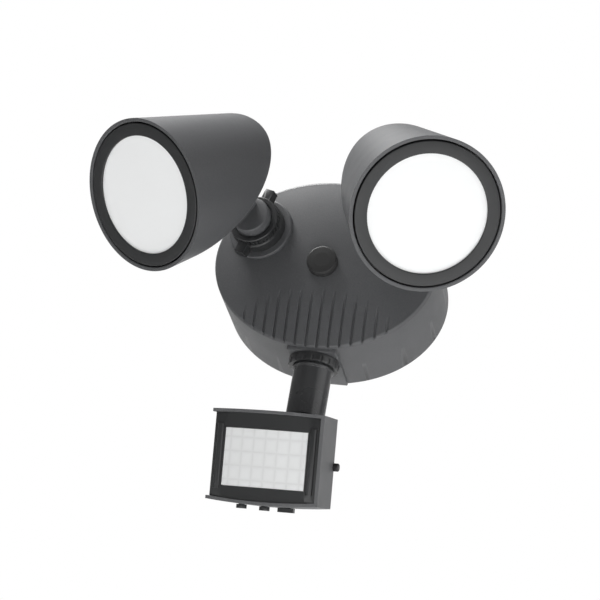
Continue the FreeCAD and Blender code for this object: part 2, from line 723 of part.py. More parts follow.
def make_centre_hardware():
    """The centre screw, its seal and the rubber plug that hides them."""
    socket_floor = d.canopy_depth + d.canopy_dome - d.plug_socket_depth
    at = Vector(0, -float(socket_floor), float(d.box_screw_height))
    seal = turned(
        "centre_screw_seal",
        [
            (d.centre_screw_radius + d.slip, 0),
            (d.centre_head_radius + 1, 0),
            (d.centre_head_radius + 1, 1.2),
            (d.centre_screw_radius + d.slip, 1.2),
        ],
    )
    place(seal, Placement(at, OUTWARD))
    length = socket_floor + 1.2 - 0.3
    head = (d.centre_head_radius, d.centre_head_height)
    screw = make_screw("centre_screw", d.centre_screw_radius, length, *head)
    place(screw, Placement(at + Vector(0, -1.2, 0), OUTWARD))
    rise = d.plug_socket_depth
    plug_wall = d.plug_socket_radius - 0.05
    pocket = d.centre_head_radius + 1.4
    top = rise + d.plug_height
    plug = turned(
        "centre_plug",
        [
            (pocket, 1.6),
            (plug_wall, 1.6),
            (plug_wall, rise + 0.05),
            (d.plug_radius, rise + 0.05),
            (d.plug_radius, top - 1.4),
            (d.plug_radius - 1.2, top - 0.35),
            (d.plug_radius / 2, top),
            (0, top),
            (0, 1.2 + d.centre_head_height + 0.5),
            (pocket, 1.2 + d.centre_head_height + 0.5),
        ],
    )
    place(plug, Placement(at, OUTWARD))


def make_ground_screw():
    """Green bonding screw in the strap."""
    length = d.strap_thickness - 0.2
    head = (d.ground_head_radius, d.ground_head_height)
    screw = make_screw("ground_screw", d.ground_screw_radius, length, *head)
    at = Vector(float(d.ground_screw_place), -float(d.strap_thickness), float(d.box_screw_height))
    place(screw, Placement(at, OUTWARD))


def make_driver():
    """Potted LED driver and the two screws that hold it to the canopy's posts."""
    body = new_body("led_driver")
    size = (d.driver_width, d.driver_height, d.driver_depth)
    back = d.driver_front - d.driver_depth
    block(body, size, (-d.driver_width / 2, d.driver_rise - d.driver_height / 2, back))
    for sign in (-1, 1):
        at = (sign * d.driver_width / 3, d.driver_rise, back - 1)
        cylinder(body, d.driver_screw_radius + d.slip, d.driver_depth + 2, at, cut=True)
    doc.recompute()
    round_edges(body, as_size(2.0), lambda edge: is_along(edge, Vector(0, 0, 1)))
    place(body, FACE)
    members = []
    for sign in (-1, 1):
        shank = doc.addObject("Part::Cylinder", "driver_screw_shank")
        bind(shank, "Radius", d.driver_screw_radius)
        bind(shank, "Height", d.driver_depth + d.driver_screw_grip)
        head = doc.addObject("Part::Cylinder", "driver_screw_head")
        bind(head, "Radius", 2 * d.driver_screw_radius)
        bind(head, "Height", 2.0)
        bind(head, "Placement.Base.z", -2.0)
        screw = doc.addObject("Part::MultiFuse", "driver_screw")
        screw.Shapes = [shank, head]
        at = Vector(sign * float(d.driver_width) / 3, float(d.driver_rise), float(back))
        screw.Placement = Placement(at, Rotation())
        members.append(screw)
    group(members, "driver_screws", FACE)


def group(members, label, placement):
    """Several equal solids kept together as one sub-part."""
    compound = doc.addObject("Part::Compound", label)
    compound.Label = label
    compound.Links = members
    doc.recompute()
    return place(compound, placement)


# ---------------------------------------------------------------- arms
# In an arm's frame Z runs along the arm from the rim plane and X is the tilt pivot.


def make_arm(side):
    """Hollow shank, trapped flange, round post and the tongue that carries the head."""
    flange_start = d.neck_height + d.seat_gap
    flange_end = flange_start + d.flange_thickness
    body = turned(
        f"{side}_arm",
        [
            (0, d.post_end - 5),
            (d.shank_bore, d.post_end - 5 - d.shank_bore / 2),
            (d.shank_bore, -d.shank_inside),
            (d.shank_radius, -d.shank_inside),
            (d.shank_radius, flange_start),
            (d.flange_radius, flange_start),
            (d.flange_radius, flange_end),
            (d.post_radius, flange_end),
            (d.post_radius, d.post_end - 0.8),
            (d.post_radius - 0.8, d.post_end),
            (0, d.post_end),
        ],
    )
    near = -d.tongue_offset - d.tongue_thickness / 2
    length = d.tilt_reach - d.post_end + 1
    tongue = (d.tongue_thickness, 2 * d.tongue_half_width, length)
    block(body, tongue, (near, -d.tongue_half_width, d.post_end - 1))
    cylinder(body, d.tongue_half_width, d.tongue_thickness, (near, 0, d.tilt_reach), RIGHT_WAY)
    hole = d.pivot_screw_radius + d.slip
    cylinder(body, hole, d.tongue_thickness + 2, (near - 1, 0, d.tilt_reach), RIGHT_WAY, cut=True)
    return place(body, arm_frame(side))


def make_lock_ring(side):
    """Winged ring that screws onto the neck and traps the arm's flange."""
    start = d.boss_height + d.seat_gap
    lip_back = d.neck_height + 2 * d.seat_gap + d.flange_thickness
    end = lip_back + d.ring_lip_thickness
    bore = d.neck_radius + d.slip
    grip_start = end - 1.2 - d.ring_tooth_length
    body = turned(
        f"{side}_lock_ring",
        [
            (bore, start),
            (d.ring_back_radius, start),
            (d.ring_back_radius, grip_start),
            (d.ring_front_radius, grip_start + 0.6),
            (d.ring_front_radius, end - 0.6),
            (d.ring_front_radius - 0.6, end),
            (d.ring_lip_radius, end),
            (d.ring_lip_radius, lip_back),
            (bore, lip_back),
        ],
    )
    root = d.ring_front_radius - d.ring_tooth_depth
    notch = block(
        body,
        (d.ring_tooth_depth + 2, d.ring_tooth_width, d.ring_tooth_length - 1),
        (root, -d.ring_tooth_width / 2, grip_start + 1),
        cut=True,
    )
    doc.recompute()
    polar(body, [notch], d.ring_tooth_count)
    doc.recompute()
    for sign in (-1, 1):
        turn = Rotation(Vector(0, 0, 1), 90 * sign - float(d.wing_angle))
        wing = block(body, (d.wing_reach - d.ring_front_radius + 1, d.wing_width, d.wing_depth), None)
        foot = float(end - d.wing_depth) - 2.5
        corner = Vector(float(d.ring_front_radius) - 1, -float(d.wing_width) / 2, foot)
        wing.Placement = Placement(turn.multVec(corner), turn)
    return place(body, ring_frame(side))


def make_arm_nut(side):
    """Hexagon nut on the shank inside the canopy."""
    body = new_body(f"{side}_arm_nut")
    sketch = new_sketch(body, "XY_Plane", -d.seat_gap - d.arm_nut_height)
    draw_regular(sketch, 2 * d.arm_nut_radius * math.cos(math.pi / 6), 6)
    extrude(body, sketch, d.arm_nut_height)
    start = -d.seat_gap - d.arm_nut_height - 1
    cylinder(body, d.shank_radius + 0.02, d.arm_nut_height + 2, (0, 0, start), cut=True)
    return place(body, arm_frame(side))


def ear_span():
    """Where the two ears start and end along the tilt pivot, from left to right."""
    left = -d.tongue_offset - d.tongue_thickness / 2 - d.seat_gap
    right = -d.tongue_offset + d.tongue_thickness / 2 + d.seat_gap
    return left - d.ear_thickness, left, right, right + d.ear_thickness


def make_pivot_hardware(side):
    """Tilt screw through the ears and the tongue, and its nut."""
    outer_left, _, _, outer_right = ear_span()
    grip = outer_right - outer_left
    screw = make_screw(
        f"{side}_tilt_screw",
        d.pivot_screw_radius,
        grip + d.pivot_nut_height + 1.5,
        d.pivot_head_radius,
        d.pivot_head_height,
    )
    at = head_frame(side).multiply(Placement(Vector(float(outer_right), 0, 0), RIGHT_WAY))
    place(screw, at)
    nut = new_body(f"{side}_tilt_nut")
    sketch = new_sketch(nut, "XY_Plane", -d.pivot_nut_height)
    draw_regular(sketch, d.pivot_nut_width, 6)
    extrude(nut, sketch, d.pivot_nut_height)
    hole_start = (0, 0, -d.pivot_nut_height - 1)
    cylinder(nut, d.pivot_screw_radius + 0.02, d.pivot_nut_height + 2, hole_start, cut=True)
    place(nut, head_frame(side).multiply(Placement(Vector(float(outer_left), 0, 0), RIGHT_WAY)))


# ---------------------------------------------------------------- lamp heads
# In a head's frame Z is where it points, X is the tilt pivot and Y is its upper side.


def solid_cone(name, back_radius, front_radius, start, length):
    """A Part cone on the head's axis."""
    cone = doc.addObject("Part::Cone", name)
    bind(cone, "Radius1", back_radius)
    bind(cone, "Radius2", front_radius)
    bind(cone, "Height", length)
    move(cone, (0, d.head_rise, start))
    return cone


def solid_cylinder(name, radius, length, at, turn=None):
    """A Part cylinder."""
    shape = doc.addObject("Part::Cylinder", name)
    bind(shape, "Radius", radius)
    bind(shape, "Height", length)
    move(shape, at, turn)
    return shape


def slanted_block(name, inset):
    """A large box whose upper face is the slanted cut under the head, moved in by a wall."""
    box = doc.addObject("Part::Box", name)
    side = 4 * d.head_front_radius
    for prop in ("Length", "Width", "Height"):
        bind(box, prop, side)
    slope = math.radians(float(d.head_cut_angle))
    turn = Rotation(Vector(1, 0, 0), -float(d.head_cut_angle))
    corner = Vector(0, float(d.head_rise + d.head_cut_rise), -float(d.head_setback))
    normal = Vector(0, math.sin(slope), math.cos(slope))
    shift = turn.multVec(Vector(-float(side) / 2, -float(side) / 2, -float(side)))
    box.Placement = Placement(corner + normal * float(inset) + shift, turn)
    return box


def cut_part(name, base, tool):
    """Take one Part shape away from another."""
    result = doc.addObject("Part::Cut", name)
    result.Base = base
    result.Tool = tool
    return result


def fuse_parts(name, shapes):
    """Join Part shapes into one solid."""
    result = doc.addObject("Part::MultiFuse", name)
    result.Shapes = shapes
    result.Refine = True
    return result


def rim_height():
    """Height of the head's front rim in its frame."""
    return d.head_length - d.head_setback


def make_head_shell(side):
    """Cast lamp body with a slanted cut, two ears, a pillar for the LED board and a bezel ledge."""
    wall = d.head_wall
    back = -d.head_setback
    outer = solid_cone(f"{side}_outer", d.head_rear_radius, d.head_front_radius, back, d.head_length)
    outer_cut = cut_part(f"{side}_outer_cut", outer, slanted_block(f"{side}_slant", as_size(0)))
    outer_left, inner_left, inner_right, outer_right = ear_span()
    ears = []
    for start, end in ((outer_left, inner_left), (inner_right, outer_right)):
        bar = doc.addObject("Part::Box", f"{side}_ear_bar")
        bind(bar, "Length", end - start)
        bind(bar, "Width", 2 * d.tongue_half_width)
        bind(bar, "Height", d.head_length / 2)
        move(bar, (start, -d.tongue_half_width, 0))
        tip = solid_cylinder(f"{side}_ear_tip", d.tongue_half_width, end - start, (start, 0, 0), RIGHT_WAY)
        ears += [bar, tip]
    solid = fuse_parts(f"{side}_solid", [outer_cut] + ears)
    spread = (d.head_front_radius - d.head_rear_radius) / d.head_length
    hollow_cone = solid_cone(
        f"{side}_hollow_cone",
        d.head_rear_radius - wall + spread * wall,
        d.head_front_radius - wall,
        back + wall,
        d.head_length - wall,
    )
    hollow_cut = cut_part(f"{side}_hollow_cut", hollow_cone, slanted_block(f"{side}_inner_slant", wall))
    board_back = rim_height() - d.led_depth - d.led_board_thickness
    pillar = solid_cylinder(f"{side}_pillar", d.head_pillar_radius, board_back - back, (0, d.head_rise, back))
    ledge_top = rim_height() - d.bezel_depth
    ledge_start = ledge_top - d.bezel_ledge
    at = (0, d.head_rise, ledge_start)
    ledge_outer = solid_cylinder(f"{side}_ledge_outer", d.head_front_radius, d.bezel_ledge, at)
    ledge_inner_radius = d.head_front_radius - wall - d.bezel_ledge_width
    at = (0, d.head_rise, ledge_start - 1)
    ledge_hole = solid_cylinder(f"{side}_ledge_hole", ledge_inner_radius, d.bezel_ledge + 2, at)
    ledge = cut_part(f"{side}_ledge", ledge_outer, ledge_hole)
    kept = fuse_parts(f"{side}_kept", [pillar, ledge])
    hollow = cut_part(f"{side}_hollow", hollow_cut, kept)
    shell = cut_part(f"{side}_shell", solid, hollow)
    bore = solid_cylinder(
        f"{side}_ear_bore",
        d.pivot_screw_radius + d.slip,
        outer_right - outer_left + 2,
        (outer_left - 1, 0, 0),
        RIGHT_WAY,
    )
    body = cut_part(f"{side}_head_shell", shell, bore)
    body.Label = f"{side}_head_shell"
    doc.recompute()
    return place(body, head_frame(side))


def on_head_axis(side):
    """Frame on a head's axis, level with its front rim, Z where it points."""
    rim = Vector(0, float(d.head_rise), float(rim_height()))
    return head_frame(side).multiply(Placement(rim, Rotation()))


def make_bezel(side):
    """Flat dark ring that holds the lens in the head's rim."""
    outer = d.head_front_radius - d.head_wall - d.bezel_gap
    lens_back = -d.lens_recess - d.lens_thickness
    body = turned(
        f"{side}_bezel",
        [
            (d.lens_window_radius, 0),
            (outer, 0),
            (outer, -d.bezel_depth),
            (d.lens_radius + d.seat_gap, -d.bezel_depth),
            (d.lens_radius + d.seat_gap, -d.lens_recess),
            (d.lens_window_radius, -d.lens_recess),
        ],
    )
    return place(body, on_head_axis(side))


def make_lamp_lens(side):
    """Frosted disc behind the bezel, slightly crowned."""
    back = -d.lens_recess - d.lens_thickness
    body = turned(
        f"{side}_lens",
        [
            (0, back),
            (d.lens_radius, back),
            (d.lens_radius, -d.lens_recess),
            (0, -d.lens_recess),
        ],
    )
    return place(body, on_head_axis(side))


def make_lens_gasket(side):
    """Silicone ring behind the lens."""
    top = -d.lens_recess - d.lens_thickness
    body = turned(
        f"{side}_lens_gasket",
        [
            (d.lens_radius - d.lens_gasket_width, top - d.gasket_thickness),
            (d.lens_radius, top - d.gasket_thickness),
            (d.lens_radius, top),
            (d.lens_radius - d.lens_gasket_width, top),
        ],
    )
    return place(body, on_head_axis(side))


def make_reflector(side):
    """Conical white reflector between the lens gasket and the LED board."""
    top = -d.lens_recess - d.lens_thickness - d.gasket_thickness
    sheet_size = d.reflector_sheet
    foot = -d.led_depth - d.led_board_thickness
    wide = d.lens_radius - d.lens_gasket_width
    body = turned(
        f"{side}_reflector",
        [
            (d.reflector_throat, foot),
            (d.reflector_throat + sheet_size, foot),
            (wide, top - sheet_size),
            (d.lens_radius, top - sheet_size),
            (d.lens_radius, top),
            (wide - sheet_size, top),
            (d.reflector_throat, foot + sheet_size),
        ],
    )
    return place(body, on_head_axis(side))


def make_led_board(side):
    """Round aluminium board on the head's pillar."""
    face = -d.led_depth
    body = turned(
        f"{side}_led_board",
        [
            (0, face - d.led_board_thickness),
            (d.led_board_radius, face - d.led_board_thickness),
            (d.led_board_radius, face),
            (0, face),
        ],
    )
    return place(body, on_head_axis(side))


def make_leds(side):
    """One LED in the middle of a ring of others."""
    members = []
    count = int(float(d.led_count))
    for index in range(count + 1):
        chip = doc.addObject("Part::Box", f"{side}_led")
        for prop in ("Length", "Width"):
            bind(chip, prop, d.led_size)
        bind(chip, "Height", d.led_height)
        radius = 0.0 if index == count else float(d.led_ring_radius)
        turn = Rotation(Vector(0, 0, 1), 360 * index / count)
        corner = Vector(radius - float(d.led_size) / 2, -float(d.led_size) / 2, -float(d.led_depth))
        chip.Placement = Placement(turn.multVec(corner), turn)
        members.append(chip)
    group(members, f"{side}_leds", on_head_axis(side))


# ---------------------------------------------------------------- sensor stem
# In the stem's frame Z is up and heights are measured from the canopy's middle.


def make_stem():
    """Threaded shank through the pad, collar, round stem and a tongue for the sensor."""
    top = -d.pad_drop - d.stem_nut_height - 2 * d.seat_gap
    body = turned(
        "sensor_stem",
        [
            (0, -d.stem_end),
            (d.stem_radius, -d.stem_end),
            (d.stem_radius, top - d.stem_collar_height),
            (d.stem_radius + d.stem_collar, top - d.stem_collar_height + d.stem_collar),
            (d.stem_radius + d.stem_collar, top),
            (d.stem_shank_radius, top),
            (d.stem_shank_radius, -d.stem_shank_top),
            (d.shank_bore, -d.stem_shank_top),
            (d.shank_bore, -d.stem_end + 14),
            (0, -d.stem_end + 14 - d.shank_bore),
        ],
    )
    length = d.sensor_pivot_drop - d.stem_end + 1
    corner = (-d.stem_tongue_half, -d.stem_tongue_radius, -d.sensor_pivot_drop)
    block(body, (2 * d.stem_tongue_half, 2 * d.stem_tongue_radius, length), corner)
    end = (-d.stem_tongue_half, 0, -d.sensor_pivot_drop)
    cylinder(body, d.stem_tongue_radius, 2 * d.stem_tongue_half, end, RIGHT_WAY)
    hole = (-d.stem_tongue_half - 1, 0, -d.sensor_pivot_drop)
    cylinder(body, d.clamp_bolt_radius + d.slip, 2 * d.stem_tongue_half + 2, hole, RIGHT_WAY, cut=True)
    return place(body, stem_frame())


def make_stem_lock_nut():
    """Ribbed lock nut between the pad and the stem's collar."""
    top = -d.pad_drop - d.seat_gap
    body = turned(
        "sensor_lock_nut",
        [
            (d.stem_shank_radius + d.slip, top - d.stem_nut_height),
            (d.stem_nut_radius - 0.8, top - d.stem_nut_height),
            (d.stem_nut_radius, top - d.stem_nut_height + 0.8),
            (d.stem_nut_radius, top),
            (d.stem_shank_radius + d.slip, top),
        ],
    )
    dent = cylinder(
        body,
        1.1,
        d.stem_nut_height - 1.2,
        (d.stem_nut_radius + 0.3, 0, top - d.stem_nut_height - 1),
        cut=True,
    )
    doc.recompute()
    polar(body, [dent], d.stem_nut_ribs)
    return place(body, stem_frame())


def make_stem_inner_nut():
    """Hexagon nut on the shank inside the canopy."""
    body = new_body("sensor_inner_nut")
    start = -d.pad_drop + d.pad_thickness + d.seat_gap
    sketch = new_sketch(body, "XY_Plane", start)
    draw_regular(sketch, 2 * d.inner_nut_radius * math.cos(math.pi / 6), 6)
    extrude(body, sketch, d.inner_nut_height)
    cylinder(body, d.stem_shank_radius + 0.02, d.inner_nut_height + 2, (0, 0, start - 1), cut=True)
    return place(body, stem_frame())


# ---------------------------------------------------------------- sensor
# In the sensor's frame the origin is its pivot, -Y is where it looks and +Z is its top.


def sensor_left_side():
    """X of the sensor's left side."""
    return -d.sensor_left - d.sensor_width / 2


def sensor_floor():
    """Z of the sensor's bottom corners."""
    return d.sensor_up - d.sensor_height / 2


def sensor_outline(sketch, inset):
    """The sensor's bowed outline seen from in front, moved in by a wall."""
    left = sensor_left_side() + inset
    right = left + d.sensor_width - 2 * inset
    low = sensor_floor() + inset
    high = low + d.sensor_height - 2 * inset
    # A sketch on the XZ plane seen from -Y keeps X to the right and Z up.
    points = [(left, low), (right, low), (right, high), (left, high)]
    draw_outline(sketch, points, {0: d.sensor_bottom_bow, 2: d.sensor_top_bow})


def sensor_run(body, start, length, inset, cut=False):
    """Pad or cut the sensor's outline from one depth to another, measured back from its front."""
    # The sketch's normal is -Y, so the run starts at its rear end.
    sketch = new_sketch(body, "XZ_Plane", d.sensor_front - start - length)
    sensor_outline(sketch, inset)
    return extrude(body, sketch, length, cut)


def bowed_front(sketch, setback, inset, rear):
    """Plan of something with a bulging front: from a depth behind the front back to a rear depth."""
    left = sensor_left_side() + inset
    right = left + d.sensor_width - 2 * inset
    front = -d.sensor_front + setback
    points = [(left, front), (right, front), (right, -d.sensor_front + rear), (left, -d.sensor_front + rear)]
    draw_outline(sketch, points, {0: d.sensor_front_bow})


def trim_front(body):
    """Cut the front to a shallow bulge, seen from above."""
    sketch = new_sketch(body, "XY_Plane", sensor_floor() - 2 * d.sensor_bottom_bow)
    left = sensor_left_side()
    far = 2 * d.sensor_front_bow
    right = left + d.sensor_width
    # The outline runs round the waste in front of the bulge, so the arc bulges into it.
    points = [
        (left - 1, -d.sensor_front),
        (left - 1, -d.sensor_front - far),
        (right + 1, -d.sensor_front - far),
        (right + 1, -d.sensor_front),
        (right, -d.sensor_front),
        (left, -d.sensor_front),
    ]
    draw_outline(sketch, points, {4: -d.sensor_front_bow})
    return extrude(body, sketch, 2 * d.sensor_height, cut=True)


def tongue_slot_back():
    """How far in front of the pivot the tongue's slot starts."""
    return d.stem_tongue_radius + d.slot_clearance


def make_sensor_housing():
    """Rear shell with lips round the front, a slot for the tongue and holes for bolt and knobs."""
    body = new_body("sensor_housing")
    sensor_run(body, -d.sensor_front_bow, d.sensor_depth + d.sensor_front_bow, as_size(0))
    trim_front(body)
    doc.recompute()
    back_face = float(d.sensor_depth - d.sensor_front)
    round_edges(body, d.sensor_back_edge, lambda edge: edge.BoundBox.YMin > back_face - 0.01, chamfer=True)
    sensor_run(body, -d.sensor_front_bow - 1, d.frame_depth + d.sensor_front_bow + 1, d.sensor_wall, cut=True)
    free_end = (d.sensor_wall + 1, d.frame_depth + 1, d.sensor_height - 2 * d.sensor_wall)
    free_corner = (sensor_left_side() - 1, -d.sensor_front - 1, sensor_floor() + d.sensor_wall)
    block(body, free_end, free_corner, cut=True)
    core = d.sensor_front - tongue_slot_back() - d.sensor_wall
    sensor_run(body, d.frame_depth - 1, core - d.frame_depth + 1, 2 * d.sensor_wall, cut=True)
    slot_half = d.stem_tongue_half + d.slot_clearance
    slot_low = -d.stem_tongue_radius - d.slot_clearance
    slot = (2 * slot_half, d.sensor_depth, d.sensor_height + d.sensor_top_bow)
    block(body, slot, (-slot_half, -tongue_slot_back(), slot_low), cut=True)
    left_room = sensor_left_side() + 2 * d.sensor_wall
    room_width = -slot_half - d.sensor_wall - left_room
    room = (room_width, d.sensor_depth - d.sensor_wall - core, d.sensor_height - 6 * d.sensor_wall)
    block(body, room, (left_room, core - d.sensor_front, sensor_floor() + 3 * d.sensor_wall), cut=True)
    right_side = sensor_left_side() + d.sensor_width
    bolt_room = slot_half + d.sensor_wall + d.clamp_nut_height + 3
    bolt_start = (-bolt_room, 0, 0)
    bolt_hole = d.clamp_bolt_radius + 0.02
    cylinder(body, bolt_hole, right_side + bolt_room + 1, bolt_start, RIGHT_WAY, cut=True)
    pocket = (d.clamp_nut_height + 1, d.sensor_depth, d.clamp_nut_width + 2)
    pocket_low = -d.clamp_nut_width / 2 - 1
    pocket_corner = (-slot_half - d.sensor_wall - d.clamp_nut_height - 1, pocket_low, pocket_low)
    block(body, pocket, pocket_corner, cut=True)
    below = sensor_floor() - d.sensor_bottom_bow - 1
    for x in knob_places()[:2]:
        hole = (x, knob_line(), below)
        cylinder(body, d.knob_radius * 0.6 + d.slip, 4 * d.sensor_wall, hole, cut=True)
    slide = knob_places()[2]
    opening = (d.switch_length * 0.5 + d.switch_travel + 0.6, d.switch_width * 0.6 + 0.4, 4 * d.sensor_wall)
    corner = (slide - d.switch_length * 0.25 - 0.3, knob_line() - d.switch_width * 0.3 - 0.2, below)
    block(body, opening, corner, cut=True)
    return place(body, sensor_frame())


def knob_line():
    """Y of the row of knobs under the sensor."""
    return -d.sensor_front + d.sensor_depth * d.knob_line_share


def knob_places():
    """X of the two knobs and of the slide switch, from left to right."""
    left = sensor_left_side()
    shares = (d.time_knob_share, d.range_knob_share, d.switch_share)
    return tuple(left + d.sensor_width * share for share in shares)


def bow_drop(x):
    """How far the bowed bottom hangs below the sensor's bottom corners at an X."""
    half = d.sensor_width / 2
    share = (x + d.sensor_left) / half
    return d.sensor_bottom_bow * (1 - share * share)


def make_knobs():
    """Two turning knobs and one slide switch under the sensor."""
    names = ("time_knob", "range_knob")
    for name, x in zip(names, knob_places()):
        face = sensor_floor() - bow_drop(x)
        stalk = d.knob_radius * 0.6
        body = turned(
            name,
            [
                (0, -d.knob_drop),
                (d.knob_radius, -d.knob_drop),
                (d.knob_radius, -d.seat_gap - 0.1),
                (stalk, -d.seat_gap - 0.1),
                (stalk, 3 * d.sensor_wall),
                (0, 3 * d.sensor_wall),
            ],
        )
        slot = (2 * d.knob_radius + 2, 1.0, 1.2)
        block(body, slot, (-d.knob_radius - 1, -0.5, -d.knob_drop - 0.2), cut=True)
        at = Placement(Vector(float(x), float(knob_line()), float(face)), Rotation())
        place(body, sensor_frame().multiply(at))
    slide = new_body("mode_switch")
    x = knob_places()[2]
    face = sensor_floor() - d.sensor_bottom_bow
    button = (d.switch_length, d.switch_width, d.knob_drop)
    block(slide, button, (-d.switch_length / 2, -d.switch_width / 2, -d.knob_drop - 0.1))
    stalk = (d.switch_length * 0.5, d.switch_width * 0.6, 3 * d.sensor_wall)
    block(slide, stalk, (-d.switch_length * 0.25, -d.switch_width * 0.3, -0.5))
    at = Placement(Vector(float(x), float(knob_line()), float(face)), Rotation())
    place(slide, sensor_frame().multiply(at))


def make_front_frame():
    """Dark frame round the sensor's window, with a bulging face and two half-round pillars."""
    body = new_body("sensor_front_frame")
    inset = d.sensor_wall + 0.1
    plan = new_sketch(body, "XY_Plane", sensor_floor() - d.sensor_bottom_bow)
    bowed_front(plan, d.lip_reach, inset, d.frame_depth)
    extrude(body, plan, d.sensor_height + 2 * d.sensor_bottom_bow)
    waste = new_sketch(body, "XZ_Plane", d.sensor_front - d.frame_depth - 1)
    margin = 2 * d.sensor_height
    low = -margin
    corners = [(low, low), (margin, low), (margin, margin), (low, margin)]
    draw_outline(waste, corners)
    sensor_outline(waste, inset)
    extrude(body, waste, d.frame_depth + d.sensor_front_bow + 3, cut=True)
    left, low, face = window_corner()
    for x in (left - d.pillar_gap - d.pillar_radius, left + window_width() + d.pillar_gap + d.pillar_radius):
        pillar = (x, face + d.pillar_radius / 2, low - d.pillar_radius)
        cylinder(body, d.pillar_radius, window_height() + 2 * d.pillar_radius, pillar)
    opening = (window_width(), d.frame_depth + d.sensor_front_bow + 2, window_height())
    block(body, opening, (left, -d.sensor_front - d.sensor_front_bow - 1, low), cut=True)
    side = d.sensor_wall + 2.6
    hollow_left = sensor_left_side() + side
    hollow = (d.sensor_width - 2 * side, d.frame_depth, d.sensor_height - 2 * side)
    block(body, hollow, (hollow_left, face + d.frame_rail, sensor_floor() + side), cut=True)
    doc.recompute()
    return place(body, sensor_frame())


def window_width():
    """Width of the sensor's window."""
    return d.sensor_width - 2 * d.window_side


def window_height():
    """Height of the sensor's window."""
    return d.sensor_height - 2 * d.window_rim


def window_corner():
    """The window's lower left corner and the depth of the frame's face beside it."""
    left = -d.sensor_left - window_width() / 2
    low = d.sensor_up - d.window_drop - window_height() / 2
    share = float(window_width() / d.sensor_width)
    face = -d.sensor_front + d.lip_reach - d.sensor_front_bow * (1 - share * share)
    return left, low, face


def make_sensor_lens():
    """Curved Fresnel lens behind the window, with a flat flange behind the frame."""
    body = new_body("sensor_lens")
    left, low, face = window_corner()
    flange_front = face + d.frame_rail + 0.05
    flange_width = window_width() + 2 * d.lens_flange
    flange = (flange_width, d.sensor_lens_thickness, window_height() + 2 * d.lens_flange)
    block(body, flange, (left - d.lens_flange, flange_front, low - d.lens_flange))
    opening = (window_width() - 3, 4.0, window_height() - 3)
    block(body, opening, (left + 1.5, flange_front - 1, low + 1.5), cut=True)
    sketch = new_sketch(body, "XY_Plane", low + 0.3)
    half = window_width() / 2 - 0.3
    bulge = half * half / d.window_radius / 2
    near = face + 0.4
    wall = d.sensor_lens_thickness
    foot = flange_front + wall / 2
    middle = -d.sensor_left
    points = [
        (middle - half, foot),
        (middle - half, near),
        (middle + half, near),
        (middle + half, foot),
        (middle + half - wall, foot),
        (middle + half - wall, near + wall),
        (middle - half + wall, near + wall),
        (middle - half + wall, foot),
    ]
    draw_outline(sketch, points, {1: bulge, 5: -bulge})
    extrude(body, sketch, window_height() - 0.6)
    doc.recompute()
    return place(body, sensor_frame())


def make_sensor_inside():
    """Circuit board with the pyroelectric can, the light cell, a relay and a capacitor."""
    board = new_body("sensor_board")
    width = d.sensor_width - 4 * d.sensor_wall - 1
    height = d.sensor_height - 6 * d.sensor_wall - 1
    board_y = -d.sensor_front + d.frame_depth + d.sensor_board_setback
    corner = (-d.sensor_left - width / 2, board_y, d.sensor_up - height / 2)
    block(board, (width, d.sensor_board_thickness, height), corner)
    place(board, sensor_frame())
    parts = (
        ("pyro_sensor", d.pyro_radius, d.pyro_height, (0.0, 0.0)),
        ("light_cell", d.cell_radius, d.cell_height, (-20.0, 6.0)),
    )
    facing = Rotation(Vector(1, 0, 0), 90)
    for name, radius, height_out, (side, up) in parts:
        can = turned(
            name,
            [
                (0, 0),
                (radius + 0.4, 0),
                (radius + 0.4, 0.6),
                (radius, 0.6),
                (radius, height_out),
                (0, height_out),
            ],
        )
        at = Vector(side - float(d.sensor_left), float(board_y), up + float(d.sensor_up - d.window_drop))
        place(can, sensor_frame().multiply(Placement(at, facing)))
    nut_pocket = d.stem_tongue_half + d.slot_clearance + d.sensor_wall + d.clamp_nut_height + 1
    capacitor_place = -(nut_pocket + d.part_gap + d.capacitor_radius)
    relay = new_body("relay")
    relay_left = capacitor_place - d.capacitor_radius - d.part_gap - d.relay_width
    relay_size = (d.relay_width, d.relay_depth, d.relay_height)
    board_back = board_y + d.sensor_board_thickness
    block(relay, relay_size, (relay_left, board_back, d.sensor_up - d.relay_height / 2))
    place(relay, sensor_frame())
    can_radius = d.capacitor_radius
    can_height = d.capacitor_height
    capacitor = turned("capacitor", [(0, 0), (can_radius, 0), (can_radius, can_height), (0, can_height)])
    at = Vector(float(capacitor_place), float(board_back), float(d.sensor_up))
    place(capacitor, sensor_frame().multiply(Placement(at, Rotation(Vector(1, 0, 0), -90))))


def make_clamp():
    """Bolt across the sensor's slot, and its nut."""
    right_side = sensor_left_side() + d.sensor_width
    slot_half = d.stem_tongue_half + d.slot_clearance
    nut_face = slot_half + d.sensor_wall
    length = right_side + nut_face + d.clamp_nut_height + 2
    bolt = make_screw("clamp_bolt", d.clamp_bolt_radius, length, d.clamp_head_radius, d.clamp_head_height)
    at = Placement(Vector(float(right_side), 0, 0), RIGHT_WAY)
    place(bolt, sensor_frame().multiply(at))
    nut = new_body("clamp_nut")
    sketch = new_sketch(nut, "XY_Plane", -d.clamp_nut_height)
    draw_regular(sketch, d.clamp_nut_width, 6)
    extrude(nut, sketch, d.clamp_nut_height)
    hole_start = (0, 0, -d.clamp_nut_height - 1)
    cylinder(nut, d.clamp_bolt_radius + 0.02, d.clamp_nut_height + 2, hole_start, cut=True)
    place(nut, sensor_frame().multiply(Placement(Vector(-float(nut_face), 0, 0), RIGHT_WAY)))


